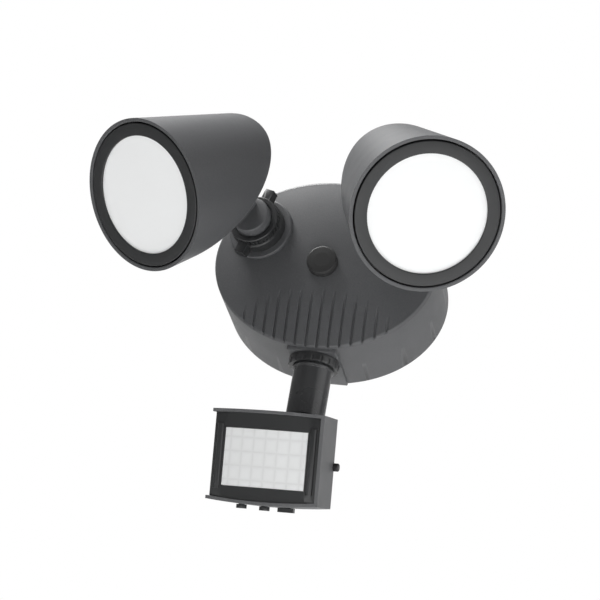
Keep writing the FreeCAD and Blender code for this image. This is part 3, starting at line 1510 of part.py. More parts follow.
def build():
    """Make every sub-part."""
    make_canopy()
    make_canopy_gasket()
    make_strap()
    make_centre_hardware()
    make_ground_screw()
    make_driver()
    for side in SIDES:
        make_arm(side)
        make_lock_ring(side)
        make_arm_nut(side)
        make_pivot_hardware(side)
        make_head_shell(side)
        make_bezel(side)
        make_lamp_lens(side)
        make_lens_gasket(side)
        make_reflector(side)
        make_led_board(side)
        make_leds(side)
    make_stem()
    make_stem_lock_nut()
    make_stem_inner_nut()
    make_sensor_housing()
    make_front_frame()
    make_sensor_lens()
    make_sensor_inside()
    make_knobs()
    make_clamp()


def check():
    """Stop if any object failed or any sub-part is not one valid set of solids."""
    for thing in doc.Objects:
        if "Invalid" in thing.State or "Error" in thing.State:
            raise RuntimeError(f"{thing.Label} failed: {thing.State}")
    for part in PARTS:
        shape = part.Shape
        if shape.isNull() or not shape.isValid() or not shape.Solids:
            raise RuntimeError(f"{part.Label} has no valid solid")


def export():
    """Write one STEP file for each sub-part."""
    os.makedirs("parts", exist_ok=True)
    for part in PARTS:
        part.Shape.exportStep(f"parts/{part.Label}.step")
        print(f"{part.Label:24s} solids {len(part.Shape.Solids):2d} volume {part.Shape.Volume:10.1f}")


build()
doc.recompute()
check()
export()
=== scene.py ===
# %% [markdown]
# # A motion sensor security light
#
# The light hangs on a wall: an oval cast canopy carries two lamp heads on swivelling arms and, below
# it, a motion sensor on a stem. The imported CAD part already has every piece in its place, in metres.
# Here the pieces that the eye rests on are made again with softer, truer surfaces, and everything
# gets its finish.

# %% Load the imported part
import json
import math

import bpy
import numpy as np
from mathutils import Matrix, Vector

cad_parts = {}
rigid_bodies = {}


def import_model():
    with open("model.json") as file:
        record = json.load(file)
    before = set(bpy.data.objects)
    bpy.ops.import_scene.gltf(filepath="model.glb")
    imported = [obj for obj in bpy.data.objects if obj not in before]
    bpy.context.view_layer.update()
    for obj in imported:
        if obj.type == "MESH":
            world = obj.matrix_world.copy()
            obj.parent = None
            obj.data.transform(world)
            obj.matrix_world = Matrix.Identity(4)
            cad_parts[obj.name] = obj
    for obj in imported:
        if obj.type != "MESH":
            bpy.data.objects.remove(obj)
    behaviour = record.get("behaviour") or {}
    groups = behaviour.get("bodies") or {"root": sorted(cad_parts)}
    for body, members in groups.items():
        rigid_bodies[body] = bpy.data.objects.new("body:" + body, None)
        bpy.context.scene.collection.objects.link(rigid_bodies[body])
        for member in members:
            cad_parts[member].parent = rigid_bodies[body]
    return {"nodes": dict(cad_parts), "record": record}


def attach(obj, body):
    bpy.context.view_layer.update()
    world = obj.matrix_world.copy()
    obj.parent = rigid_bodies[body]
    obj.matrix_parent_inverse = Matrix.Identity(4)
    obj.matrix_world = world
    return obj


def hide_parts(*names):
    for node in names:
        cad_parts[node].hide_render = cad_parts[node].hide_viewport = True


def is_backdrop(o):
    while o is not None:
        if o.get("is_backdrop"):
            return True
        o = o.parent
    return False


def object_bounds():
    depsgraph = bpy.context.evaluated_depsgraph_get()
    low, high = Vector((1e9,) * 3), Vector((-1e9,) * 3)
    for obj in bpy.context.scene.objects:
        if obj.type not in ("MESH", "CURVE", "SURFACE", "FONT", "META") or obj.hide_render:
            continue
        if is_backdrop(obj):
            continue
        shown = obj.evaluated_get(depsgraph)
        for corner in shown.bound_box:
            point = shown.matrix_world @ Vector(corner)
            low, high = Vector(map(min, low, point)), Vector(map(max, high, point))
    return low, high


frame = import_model()
nodes = frame["nodes"]
MM = 0.001

# %% [markdown]
# ## The frames that the pieces are made in
#
# Each arm leans outwards from its boss, and each lamp head hangs on its arm in a pose of its own. It
# is easiest to work out a piece round its own axis and then carry it to its place with a matrix, so
# every piece is drawn in millimetres in such a local frame and turned into metres at the very end.

# %% Frames of the canopy, the arms, the heads and the sensor
SIDES = {"left": -1, "right": 1}
AIM = {"left": (-35.06, -35.8), "right": (29.2, -36.5)}
ARM_SPLAY = 9.3
ARM_FOOT = (48.5, -61.4, 20.3)
TILT_REACH = 76.0
STEM_PLACE = (0.0, -42.0, 0.0)
SENSOR_DROP = 144.0
SENSOR_SWIVEL, SENSOR_TILT = -3.8, 17.4


def axes_frame(x_axis, y_axis, z_axis, origin):
    """A 4 by 4 matrix whose columns are three square directions and an origin, all in mm."""
    matrix = np.eye(4)
    matrix[:3, 0], matrix[:3, 1], matrix[:3, 2] = x_axis, y_axis, z_axis
    matrix[:3, 3] = origin
    return matrix


def unit(vector):
    """The same direction with length 1."""
    vector = np.asarray(vector, float)
    return vector / np.linalg.norm(vector)


def turn(degrees, axis):
    """Rotation matrix about a coordinate axis: 0 for X, 1 for Y, 2 for Z."""
    angle = math.radians(degrees)
    return np.array(Matrix.Rotation(angle, 4, "XYZ"[axis]))


def aim_direction(side):
    """Where a lamp head points: azimuth from straight ahead, then elevation."""
    around, up = np.radians(AIM[side])
    return np.array([math.sin(around) * math.cos(up), -math.cos(around) * math.cos(up), math.sin(up)])


def arm_direction(side):
    """Along an arm, away from the wall."""
    splay = math.radians(ARM_SPLAY)
    return np.array([SIDES[side] * math.sin(splay), -math.cos(splay), 0.0])


def arm_foot(side):
    """Where an arm's axis crosses the plane of the canopy's rim."""
    return np.array([SIDES[side] * ARM_FOOT[0], ARM_FOOT[1], ARM_FOOT[2]])


def tilt_direction(side):
    """Along a lamp head's tilt screw: square to its arm and to its aim."""
    return unit(np.cross(arm_direction(side), aim_direction(side)))


def ring_frame(side):
    """Z along the arm, Y upright, origin at the foot."""
    z_axis = arm_direction(side)
    x_axis = unit(np.cross((0.0, 0.0, 1.0), z_axis))
    return axes_frame(x_axis, np.cross(z_axis, x_axis), z_axis, arm_foot(side))


def head_frame(side):
    """Z where the head points, X along the tilt screw, origin at the pivot."""
    z_axis, x_axis = aim_direction(side), tilt_direction(side)
    pivot = arm_foot(side) + TILT_REACH * arm_direction(side)
    return axes_frame(x_axis, np.cross(z_axis, x_axis), z_axis, pivot)


CANOPY_FRAME = axes_frame((1, 0, 0), (0, 0, 1), (0, -1, 0), (0, 0, 0))
place = np.eye(4)
place[:3, 3] = STEM_PLACE
STEM_FRAME = place @ turn(SENSOR_SWIVEL, 2)
drop = np.eye(4)
drop[2, 3] = -SENSOR_DROP
SENSOR_FRAME = STEM_FRAME @ drop @ turn(SENSOR_TILT, 0)
for side in SIDES:
    print(side, "head points", np.round(aim_direction(side), 3))

# %% [markdown]
# ## From arrays to meshes
#
# A surface is a grid of points: one parameter runs round it, the other along it. Joining each point
# to its neighbours gives the faces, and a row that closes on itself is joined back to its start.
# Several grids can share one mesh, which keeps a cast piece one object.

# %% Mesh helpers


def grid_faces(rows, columns, wrap_rows, wrap_columns, first):
    """Quads that join each grid point (i, j) to (i+1, j), (i+1, j+1) and (i, j+1)."""
    i = np.arange(rows if wrap_rows else rows - 1)[:, None]
    j = np.arange(columns if wrap_columns else columns - 1)[None, :]
    i_next, j_next = (i + 1) % rows, (j + 1) % columns
    quads = np.stack(
        np.broadcast_arrays(
            i * columns + j, i_next * columns + j, i_next * columns + j_next, i * columns + j_next
        ),
        axis=-1,
    )
    return quads.reshape(-1, 4) + first


def surface_piece(name, surfaces, matrix, slot, body, replaces=(), smooth_angle=32):
    """One mesh from several grids: each is (points, wrap_rows, wrap_columns, flip).

    Points are (rows, columns, 3) in mm in a local frame; the matrix carries them to the part's
    frame. Doubles are merged, so poles and seams close.
    """
    all_points, all_faces, count = [], [], 0
    for points, wrap_rows, wrap_columns, flip in surfaces:
        rows, columns = points.shape[:2]
        quads = grid_faces(rows, columns, wrap_rows, wrap_columns, count)
        all_faces.append(quads[:, ::-1] if flip else quads)
        all_points.append(points.reshape(-1, 3))
        count += rows * columns
    local = np.concatenate(all_points)
    placed = (local @ matrix[:3, :3].T + matrix[:3, 3]) * MM
    mesh = bpy.data.meshes.new(name)
    mesh.from_pydata(placed.tolist(), [], np.concatenate(all_faces).tolist())
    piece = bpy.data.objects.new(name, mesh)
    bpy.context.scene.collection.objects.link(piece)
    tidy_mesh(piece, smooth_angle)
    return finish_piece(piece, slot, body, replaces)


def tidy_mesh(piece, smooth_angle):
    """Merge doubles, drop collapsed faces, and shade smooth except over sharp angles."""
    bpy.ops.object.select_all(action="DESELECT")
    bpy.context.view_layer.objects.active = piece
    piece.select_set(True)
    bpy.ops.object.mode_set(mode="EDIT")
    bpy.ops.mesh.select_all(action="SELECT")
    bpy.ops.mesh.remove_doubles(threshold=0.000005)
    bpy.ops.mesh.dissolve_degenerate(threshold=0.000001)
    bpy.ops.object.mode_set(mode="OBJECT")
    bpy.ops.object.shade_smooth_by_angle(angle=math.radians(smooth_angle))
    piece.select_set(False)


def finish_piece(piece, slot, body, replaces):
    """Give a piece its material slot, the body that it moves with and the nodes it stands for."""
    piece["finish"] = slot
    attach(piece, body)
    if replaces:
        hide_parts(*replaces)
    return piece


def around(count):
    """Angles of a full turn, for a row that closes on itself."""
    return np.linspace(0.0, 2 * np.pi, count, endpoint=False)


def turned_surface(profile, count=96):
    """A profile of (radius, height) points carried round Z."""
    profile = np.asarray(profile, float)
    angle = around(count)[:, None]
    radius, height = profile[None, :, 0], profile[None, :, 1]
    points = np.stack(
        np.broadcast_arrays(radius * np.cos(angle), radius * np.sin(angle), height), axis=-1
    )
    return points, True, False, False


def rounded(profile, radius, steps=4):
    """The same profile with each inner corner replaced by a short quadratic curve.

    A corner P becomes (1-t)^2 A + 2t(1-t) P + t^2 B, where A and B lie on its two sides, one
    radius away from it or, on a short side, not quite half way along.
    """
    profile = [np.asarray(point, float) for point in profile]
    result = [profile[0]]
    for before, corner, after in zip(profile[:-2], profile[1:-1], profile[2:]):
        into, out = before - corner, after - corner
        reach = min(radius, 0.45 * np.linalg.norm(into), 0.45 * np.linalg.norm(out))
        start = corner + unit(into) * reach
        end = corner + unit(out) * reach
        t = np.linspace(0.0, 1.0, steps + 1)[:, None]
        result += list((1 - t) ** 2 * start + 2 * t * (1 - t) * corner + t ** 2 * end)
    result.append(profile[-1])
    return np.array(result)


def moved(surface, matrix):
    """A surface carried by another matrix before it joins a piece."""
    points, wrap_rows, wrap_columns, flip = surface
    return points @ matrix[:3, :3].T + matrix[:3, 3], wrap_rows, wrap_columns, flip


print("helpers ready")

# %% [markdown]
# ## Finishes
#
# The castings wear a charcoal powder coat: matt, with a fine orange-peel grain that breaks up the
# light. Noise in the object's own coordinates, fed to a Bump node, gives that grain without any
# picture. Because several finishes share it, it is a node group with a scale and a strength.

# %% Node groups for the coatings


def new_group(name, inputs, outputs):
    """An empty shader group with named sockets."""
    group = bpy.data.node_groups.new(name, "ShaderNodeTree")
    for label, kind, value in inputs:
        socket = group.interface.new_socket(label, in_out="INPUT", socket_type=kind)
        socket.default_value = value
    for label, kind in outputs:
        group.interface.new_socket(label, in_out="OUTPUT", socket_type=kind)
    return group


def add(tree, kind, **settings):
    """Add one node and set its properties."""
    node = tree.nodes.new(kind)
    for key, value in settings.items():
        setattr(node, key, value)
    return node


def grain_group():
    """Powder coat: two noises of different scale give height, tone and gloss that vary a little."""
    group = new_group(
        "powder_grain",
        [
            ("Scale", "NodeSocketFloat", 900.0),
            ("Colour", "NodeSocketColor", (0.1, 0.1, 0.1, 1.0)),
            ("Tone", "NodeSocketFloat", 0.1),
            ("Roughness", "NodeSocketFloat", 0.5),
            ("Height", "NodeSocketFloat", 0.1),
        ],
        [
            ("Colour", "NodeSocketColor"),
            ("Roughness", "NodeSocketFloat"),
            ("Normal", "NodeSocketVector"),
        ],
    )
    links = group.links
    inside = add(group, "NodeGroupInput")
    outside = add(group, "NodeGroupOutput")
    place_node = add(group, "ShaderNodeTexCoord")
    fine = add(group, "ShaderNodeTexNoise")
    fine.inputs["Detail"].default_value = 2.0
    broad = add(group, "ShaderNodeTexNoise")
    broad.inputs["Scale"].default_value = 60.0
    broad.inputs["Detail"].default_value = 3.0
    links.new(place_node.outputs["Object"], fine.inputs["Vector"])
    links.new(place_node.outputs["Object"], broad.inputs["Vector"])
    links.new(inside.outputs["Scale"], fine.inputs["Scale"])
    centred = add(group, "ShaderNodeMath", operation="SUBTRACT")
    centred.inputs[1].default_value = 0.5
    links.new(fine.outputs["Fac"], centred.inputs[0])
    swing = add(group, "ShaderNodeMath", operation="MULTIPLY")
    links.new(centred.outputs[0], swing.inputs[0])
    links.new(inside.outputs["Tone"], swing.inputs[1])
    level = add(group, "ShaderNodeMath", operation="ADD")
    level.inputs[1].default_value = 1.0
    links.new(swing.outputs[0], level.inputs[0])
    tone = add(group, "ShaderNodeVectorMath", operation="SCALE")
    links.new(inside.outputs["Colour"], tone.inputs[0])
    links.new(level.outputs[0], tone.inputs["Scale"])
    links.new(tone.outputs["Vector"], outside.inputs["Colour"])
    gloss = add(group, "ShaderNodeMath", operation="MULTIPLY_ADD")
    gloss.inputs[1].default_value = 0.12
    links.new(broad.outputs["Fac"], gloss.inputs[0])
    links.new(inside.outputs["Roughness"], gloss.inputs[2])
    links.new(gloss.outputs[0], outside.inputs["Roughness"])
    bump = add(group, "ShaderNodeBump")
    bump.inputs["Distance"].default_value = 0.0002
    links.new(inside.outputs["Height"], bump.inputs["Strength"])
    links.new(fine.outputs["Fac"], bump.inputs["Height"])
    links.new(bump.outputs["Normal"], outside.inputs["Normal"])
    return group


GRAIN = grain_group()
print("groups:", [group.name for group in bpy.data.node_groups])

# %% Materials


def principled(name, colour, metallic=0.0, roughness=0.5, specular=0.5):
    """A plain material whose values sit on the shader's own sockets."""
    material = bpy.data.materials.new(name)
    material.use_nodes = True
    shader = material.node_tree.nodes["Principled BSDF"]
    shader.inputs["Base Color"].default_value = (*colour, 1.0)
    shader.inputs["Metallic"].default_value = metallic
    shader.inputs["Roughness"].default_value = roughness
    shader.inputs["Specular IOR Level"].default_value = specular
    return material, shader


def grained(name, colour, metallic, roughness, scale, tone, height, specular=0.5):
    """A coated material: the grain group feeds colour, roughness and normal."""
    material, shader = principled(name, colour, metallic, roughness, specular)
    tree = material.node_tree
    node = add(tree, "ShaderNodeGroup", node_tree=GRAIN)
    node.inputs["Scale"].default_value = scale
    node.inputs["Colour"].default_value = (*colour, 1.0)
    node.inputs["Tone"].default_value = tone
    node.inputs["Roughness"].default_value = roughness
    node.inputs["Height"].default_value = height
    tree.links.new(node.outputs["Colour"], shader.inputs["Base Color"])
    tree.links.new(node.outputs["Roughness"], shader.inputs["Roughness"])
    tree.links.new(node.outputs["Normal"], shader.inputs["Normal"])
    return material


FACET_WIDTH, FACET_HEIGHT = 8.3, 9.6


def facet_group():
    """Rows and columns of the sensor lens: the light falls off towards the joint of each facet.

    The object's coordinates are turned into the sensor's frame, counted in facets, and the distance
    from the middle of the facet darkens the colour as painted shade and tips the surface.
    """
    group = new_group(
        "lens_facets",
        [("Colour", "NodeSocketColor", (0.7, 0.7, 0.7, 1.0)), ("Height", "NodeSocketFloat", 0.3)],
        [("Colour", "NodeSocketColor"), ("Normal", "NodeSocketVector")],
    )
    links = group.links
    inside, outside = add(group, "NodeGroupInput"), add(group, "NodeGroupOutput")
    place_node = add(group, "ShaderNodeTexCoord")
    into = add(group, "ShaderNodeMapping", vector_type="POINT")
    back = np.linalg.inv(SENSOR_FRAME)
    into.inputs["Rotation"].default_value = Matrix(back.tolist()).to_euler()
    into.inputs["Location"].default_value = (back[:3, 3] * MM).tolist()
    links.new(place_node.outputs["Object"], into.inputs["Vector"])
    split = add(group, "ShaderNodeSeparateXYZ")
    links.new(into.outputs["Vector"], split.inputs[0])
    folds = []
    for axis, pitch in (("X", FACET_WIDTH), ("Z", FACET_HEIGHT)):
        fold = add(group, "ShaderNodeMath", operation="PINGPONG")
        fold.inputs[1].default_value = pitch * MM / 2
        links.new(split.outputs[axis], fold.inputs[0])
        share = add(group, "ShaderNodeMath", operation="MULTIPLY")
        share.inputs[1].default_value = 2 / (pitch * MM)
        links.new(fold.outputs[0], share.inputs[0])
        square = add(group, "ShaderNodeMath", operation="POWER")
        square.inputs[1].default_value = 4.0
        links.new(share.outputs[0], square.inputs[0])
        folds.append(square)
    seam = add(group, "ShaderNodeMath", operation="MAXIMUM")
    links.new(folds[0].outputs[0], seam.inputs[0])
    links.new(folds[1].outputs[0], seam.inputs[1])
    # Painted shade: the colour darkens by up to 14 percent towards each facet's joint.
    level = add(group, "ShaderNodeMath", operation="MULTIPLY_ADD")
    level.inputs[1].default_value = -0.14
    level.inputs[2].default_value = 1.0
    links.new(seam.outputs[0], level.inputs[0])
    tone = add(group, "ShaderNodeVectorMath", operation="SCALE")
    links.new(inside.outputs["Colour"], tone.inputs[0])
    links.new(level.outputs[0], tone.inputs["Scale"])
    links.new(tone.outputs["Vector"], outside.inputs["Colour"])
    bump = add(group, "ShaderNodeBump", invert=True)
    bump.inputs["Distance"].default_value = 0.0003
    links.new(inside.outputs["Height"], bump.inputs["Strength"])
    links.new(seam.outputs[0], bump.inputs["Height"])
    links.new(bump.outputs["Normal"], outside.inputs["Normal"])
    return group



def painted_glow(shader, colour, strength):
    """Painted light: an emission that brightens a pale piece, though it is no lamp."""
    shader.inputs["Emission Color"].default_value = (*colour, 1.0)
    shader.inputs["Emission Strength"].default_value = strength


FINISH = {
    "charcoal_paint": grained("charcoal powder coat", (0.090, 0.092, 0.096), 0.0, 0.36, 1400, 0.5, 0.35),
    "bezel_paint": grained("bezel coat", (0.020, 0.021, 0.022), 0.0, 0.30, 1800, 0.2, 0.08),
    "charcoal_gloss": grained("glossy charcoal stem", (0.045, 0.046, 0.048), 0.0, 0.22, 1500, 0.2, 0.08),
    "charcoal_plastic": grained("charcoal plastic", (0.12, 0.122, 0.126), 0.0, 0.42, 1700, 0.2, 0.15),
    "black_plastic": grained("black plastic", (0.028, 0.029, 0.030), 0.0, 0.24, 1500, 0.2, 0.08),
    "black_rubber": grained("black rubber", (0.03, 0.03, 0.03), 0.0, 0.5, 1200, 0.3, 0.3, 0.3),
    "black_foam": grained("black foam", (0.04, 0.04, 0.04), 0.0, 0.85, 700, 0.6, 0.6, 0.2),
    "zinc_steel": grained("zinc plated steel", (0.62, 0.62, 0.60), 1.0, 0.28, 1200, 0.15, 0.05),
    "black_steel": grained("blackened steel", (0.05, 0.05, 0.052), 0.6, 0.30, 1500, 0.2, 0.08),
    "green_screw": grained("green bonding screw", (0.05, 0.30, 0.12), 0.6, 0.32, 1200, 0.1, 0.05),
    "driver_case": grained("driver case", (0.75, 0.75, 0.73), 0.0, 0.5, 1200, 0.05, 0.1),
    "circuit_board": grained("green board", (0.05, 0.22, 0.10), 0.0, 0.4, 900, 0.2, 0.05),
}
for slot, (colour, roughness) in {
    "circuit_board_white": ((0.85, 0.85, 0.84), 0.45),
    "light_cell": ((0.35, 0.10, 0.05), 0.15),
    "relay_case": ((0.03, 0.08, 0.30), 0.30),
    "capacitor_sleeve": ((0.05, 0.05, 0.06), 0.30),
}.items():
    FINISH[slot] = principled(slot.replace("_", " "), colour, roughness=roughness)[0]
material, shader = principled("white reflector", (0.93, 0.93, 0.93), roughness=0.3)
# Painted light: the reflector glows a little so that it looks brightly lit.
painted_glow(shader, (1.0, 1.0, 1.0), 0.35)
FINISH["white_reflector"] = material
material, shader = principled("LED phosphor", (0.90, 0.82, 0.45), roughness=0.4)
FINISH["led_phosphor"] = material
material, shader = principled("frosted white lens", (0.70, 0.71, 0.71), roughness=0.25)
# Painted light: the frosted lens glows a little so that it looks brightly lit.
painted_glow(shader, (1.0, 1.0, 1.0), 0.27)
FINISH["white_lens"] = material
material, shader = principled("faceted sensor lens", (0.62, 0.63, 0.63), roughness=0.3)
facets = add(material.node_tree, "ShaderNodeGroup", node_tree=facet_group())
facets.inputs["Colour"].default_value = (0.62, 0.63, 0.63, 1.0)
facets.inputs["Height"].default_value = 0.4
material.node_tree.links.new(facets.outputs["Colour"], shader.inputs["Base Color"])
material.node_tree.links.new(facets.outputs["Normal"], shader.inputs["Normal"])
# Painted light: the sensor lens glows a little so that it looks brightly lit.
painted_glow(shader, (1.0, 1.0, 1.0), 0.22)
SENSOR_LENS_FINISH = material
print(len(FINISH) + 1, "finishes")

# %% Dress every CAD node that shows
SLOT_OF = {entry["node"]: entry["material_slot"] for entry in frame["record"]["subparts"]}
for name, node in nodes.items():
    for index in range(len(node.material_slots)):
        node.material_slots[index].material = FINISH[SLOT_OF[name]]
print("dressed", len(SLOT_OF), "nodes")

# %% [markdown]
# ## The canopy
#
# The canopy is an oval cup with a gently domed face. Fourteen narrow grooves run down the lower face
# and out through the rim. A sphere-like grid would cut across the grooves, so the face is sliced in
# straight columns instead, with a few columns placed on the shoulders of every groove. Each column is
# one path: up the lower side, round the rim, over the dome, round the rim again and down the top.

# %% Canopy sizes and height of its face
HALF_WIDTH, HALF_HEIGHT = 81.0, 65.8
DRAFT, DEPTH, DOME, WALL = 1.0, 61.4, 8.4, 2.6
GROOVE_PITCH, GROOVE_WIDTH, GROOVE_DEPTH, GROOVE_COUNT = 7.83, 1.9, 1.7, 14
GROOVE_TOP, GROOVE_SAG, GROOVE_REACH, GROOVE_SLOPE = 23.0, 4.6, 35, 0.35
EDGE = 2.5


def dome_height(x, y):
    """Rim height plus a bulge that falls off with the squared distance from the middle."""
    across, up = x / (HALF_WIDTH - DRAFT), y / (HALF_HEIGHT - DRAFT)
    return DEPTH + DOME * (1 - across ** 2 - up ** 2)


def groove_floor(x, y):
    """Depth cut by the nearest groove at a point, 0 between grooves.

    A groove's floor is a straight line from its start on the dome to a point below the rim, so its
    depth is the dome's height minus that line; its walls slope over 0.35 mm.
    """
    index = np.floor(x / GROOVE_PITCH) + 0.5
    centre = index * GROOVE_PITCH
    top = -GROOVE_TOP - GROOVE_SAG * np.abs(centre / GROOVE_REACH) ** 3
    foot = -HALF_HEIGHT * np.sqrt(np.clip(1 - (centre / (HALF_WIDTH - DRAFT)) ** 2, 0.01, 1)) - 1
    share = np.clip((top - y) / (top - foot), 0, 1)
    line = dome_height(centre, top) * (1 - share) + (DEPTH - GROOVE_DEPTH) * share
    depth = np.clip(dome_height(centre, y) - line, 0, None) * (share > 0)
    wall = np.clip((GROOVE_WIDTH / 2 - np.abs(x - centre)) / GROOVE_SLOPE, 0, 1)
    return depth * wall * (np.abs(index) < GROOVE_COUNT / 2)


def canopy_columns():
    """X shares of the columns: evenly spread on an angle, plus the shoulders of every groove."""
    spread = np.cos(np.linspace(np.pi, 0, 73))
    face_half = HALF_WIDTH - DRAFT - EDGE
    centres = (np.arange(GROOVE_COUNT) - (GROOVE_COUNT - 1) / 2) * GROOVE_PITCH
    slope = GROOVE_SLOPE / GROOVE_WIDTH
    shoulders = np.array([-0.65, -0.5, -0.5 + slope, 0.5 - slope, 0.5, 0.65])
    extra = (centres[:, None] + shoulders[None, :] * GROOVE_WIDTH).ravel() / face_half
    plain = spread[np.abs(spread[:, None] - extra[None, :]).min(axis=1) > 0.006]
    return np.sort(np.concatenate([plain, extra]))


def canopy_outside():
    """Outer skin: column share s and path position give (x, y, z).

    On the side, x = s a(z) and y = -b(z) sqrt(1 - s^2) with a and b shrinking by the draft. Round
    the rim both shrink by the rim's rounding while z rises. On the face, x stays and y runs from
    -b to b times sqrt(1 - s^2).
    """
    share = canopy_columns()
    chord = np.sqrt(np.clip(1 - share ** 2, 0, 1))
    rim_top = DEPTH + DOME * (1 - (1 - EDGE / HALF_HEIGHT) ** 2)
    side = [(0.0, 0.0), (DRAFT * 0.5, DEPTH * 0.5), (DRAFT, DEPTH - EDGE)]
    bend = np.linspace(0, np.pi / 2, 7)[1:-1]
    round_in = [
        (DRAFT + EDGE * (1 - math.cos(angle)), DEPTH - EDGE + (EDGE + rim_top - DEPTH) * math.sin(angle))
        for angle in bend
    ]
    lower, heights = [], []
    for inset, height in side + round_in:
        x = share * (HALF_WIDTH - inset)
        lower.append(np.stack([x, -(HALF_HEIGHT - inset) * chord], axis=-1))
        heights.append(np.full_like(x, height))
    run = np.linspace(-1, 1, 131)
    run = np.sign(run) * np.abs(run) ** 0.9
    face_x = np.broadcast_to(share * (HALF_WIDTH - DRAFT - EDGE), (len(run), len(share)))
    face_y = run[:, None] * (HALF_HEIGHT - DRAFT - EDGE) * chord[None, :]
    face_z = dome_height(face_x, face_y)
    lower, heights = np.stack(lower), np.stack(heights)
    x = np.concatenate([lower[..., 0], face_x, lower[::-1, :, 0]])
    y = np.concatenate([lower[..., 1], face_y, -lower[::-1, :, 1]])
    z = np.concatenate([heights, face_z, heights[::-1]])
    groove = groove_floor(x, y)
    cut_to = dome_height(x, y) - groove
    z = np.where(groove > 0, np.minimum(z, cut_to), z)
    return np.stack([x, y, z], axis=-1), False, False, False


def canopy_inside():
    """Inner skin and back rim: rings of ellipses from the rim's outer edge inwards and up."""
    rings = [(0.0, 0.0, 0.0), (WALL, WALL, 0.0), (WALL + DRAFT, WALL + DRAFT, DEPTH - WALL - EDGE)]
    for angle in np.linspace(0.3, np.pi / 2, 4):
        inset = WALL + DRAFT + EDGE * (1 - math.cos(angle))
        rings.append((inset, inset, DEPTH - WALL - EDGE + EDGE * math.sin(angle)))
    last = rings[-1][0]
    for share in np.linspace(0.95, 0.0, 14):
        rise = DEPTH - WALL + DOME * (1 - share ** 2)
        side, top = HALF_WIDTH - last, HALF_HEIGHT - last
        rings.append((HALF_WIDTH - side * share, HALF_HEIGHT - top * share, rise))
    rings = np.array(rings)
    angle = around(160)[:, None]
    x = (HALF_WIDTH - rings[None, :, 0]) * np.cos(angle)
    y = (HALF_HEIGHT - rings[None, :, 1]) * np.sin(angle)
    z = np.broadcast_to(rings[None, :, 2], x.shape)
    return np.stack([x, y, z], axis=-1), True, False, False


outside = canopy_outside()
print("canopy skin", outside[0].shape, "columns and rows")

# %% [markdown]
# ### Bosses, pad and socket
#
# The arms stand on round bosses that rise out of the dome, and each boss ends
# in a threaded neck. Both are turned shapes on the leaning axis of the arm. The pad under the drum is
# a plain block with soft edges, which gives the sensor's lock nut a flat seat.

# %% Bosses and pad
BOSS_RADIUS, BOSS_HEIGHT, NECK_RADIUS, NECK_HEIGHT, BORE_RADIUS = 23.2, 7.1, 15.9, 17.2, 9.08
PAD_HALF, PAD_DROP = 17.5, 66.4


def boss_surface():
    """Profile round the arm's axis: wall, rounded rim, flat top, threaded neck, bore."""
    thread = []
    for index in range(7):
        foot = BOSS_HEIGHT + 0.5 + index * 1.3
        thread += [(NECK_RADIUS - 0.5, foot), (NECK_RADIUS, foot + 0.5), (NECK_RADIUS, foot + 0.7)]
    wall = [(BOSS_RADIUS + 0.3, -6), (BOSS_RADIUS, BOSS_HEIGHT), (NECK_RADIUS - 0.5, BOSS_HEIGHT)]
    edge = rounded(wall, 1.2, 5)
    top = [(NECK_RADIUS, NECK_HEIGHT - 0.5), (NECK_RADIUS - 0.5, NECK_HEIGHT)]
    top += [(BORE_RADIUS, NECK_HEIGHT), (BORE_RADIUS, -8)]
    return turned_surface(list(edge) + thread + top, 96)


def block_surface(low, high, radius=0.8, steps=3):
    """A box with rounded edges, made from the six faces of a cube's grid.

    Each point is carried to the box without its rounding, then pushed out by the radius along the
    direction in which it lies beyond half of the cube.
    """
    low, high = np.asarray(low, float), np.asarray(high, float)
    run = np.linspace(0, 1, steps + 1)
    marks = np.concatenate([-1 + run * 0.5, 1 - run[::-1] * 0.5])
    u, v = np.meshgrid(marks, marks, indexing="ij")
    one = np.ones_like(u)
    result = []
    for axis in range(3):
        for sign in (-1, 1):
            cube = np.stack([one * sign, u, v], axis=-1)
            cube = np.roll(cube, axis, axis=-1)
            centre, half = (low + high) / 2, (high - low) / 2
            outward = np.sign(cube) * np.clip((np.abs(cube) - 0.5) * 2, 0, 1)
            length = np.linalg.norm(outward, axis=-1, keepdims=True)
            core = centre + np.clip(cube * 2, -1, 1) * (half - radius)
            points = core + outward / np.maximum(length, 1e-9) * radius
            result.append((points, False, False, sign < 0))
    return result


surfaces = [outside, canopy_inside()]
back_to_canopy = np.linalg.inv(CANOPY_FRAME)
for side in SIDES:
    surfaces.append(moved(boss_surface(), back_to_canopy @ ring_frame(side)))
surfaces += block_surface((-PAD_HALF, -PAD_DROP, 0.0), (PAD_HALF, -PAD_DROP + 6, DEPTH - 2.5))
tower = [(10.6, 60.8), (10.6, 67.5), (8.0, 67.5), (8.0, 62.8), (2.3, 62.8), (2.3, 60.2), (10.6, 60.2)]
lift = np.eye(4)
lift[1, 3] = -3.5
surfaces.append(moved(turned_surface(tower, 48), lift))
post_profile = [(0, 56.5), (1.5, 56.5), (1.5, 50), (4, 50), (4, 66)]
for x in (-1, 1):
    post = np.eye(4)
    post[:3, 3] = (x * 56.0 / 3, 25.0, 0.0)
    surfaces.append(moved(turned_surface(post_profile, 32), post))
canopy = surface_piece("canopy_casting", surfaces, CANOPY_FRAME, "charcoal_paint", "canopy", ["canopy"])
print("canopy casting", len(canopy.data.polygons), "faces")

# %% [markdown]
# ## Lamp heads
#
# A head is a cast cone that widens towards its rim, and its back is cut off at a slant, so that it
# can tilt close to its arm. For every direction round the axis the skin is one path in a plane
# through the axis: round the rim, down the side, round the corner and in along the slanted back.

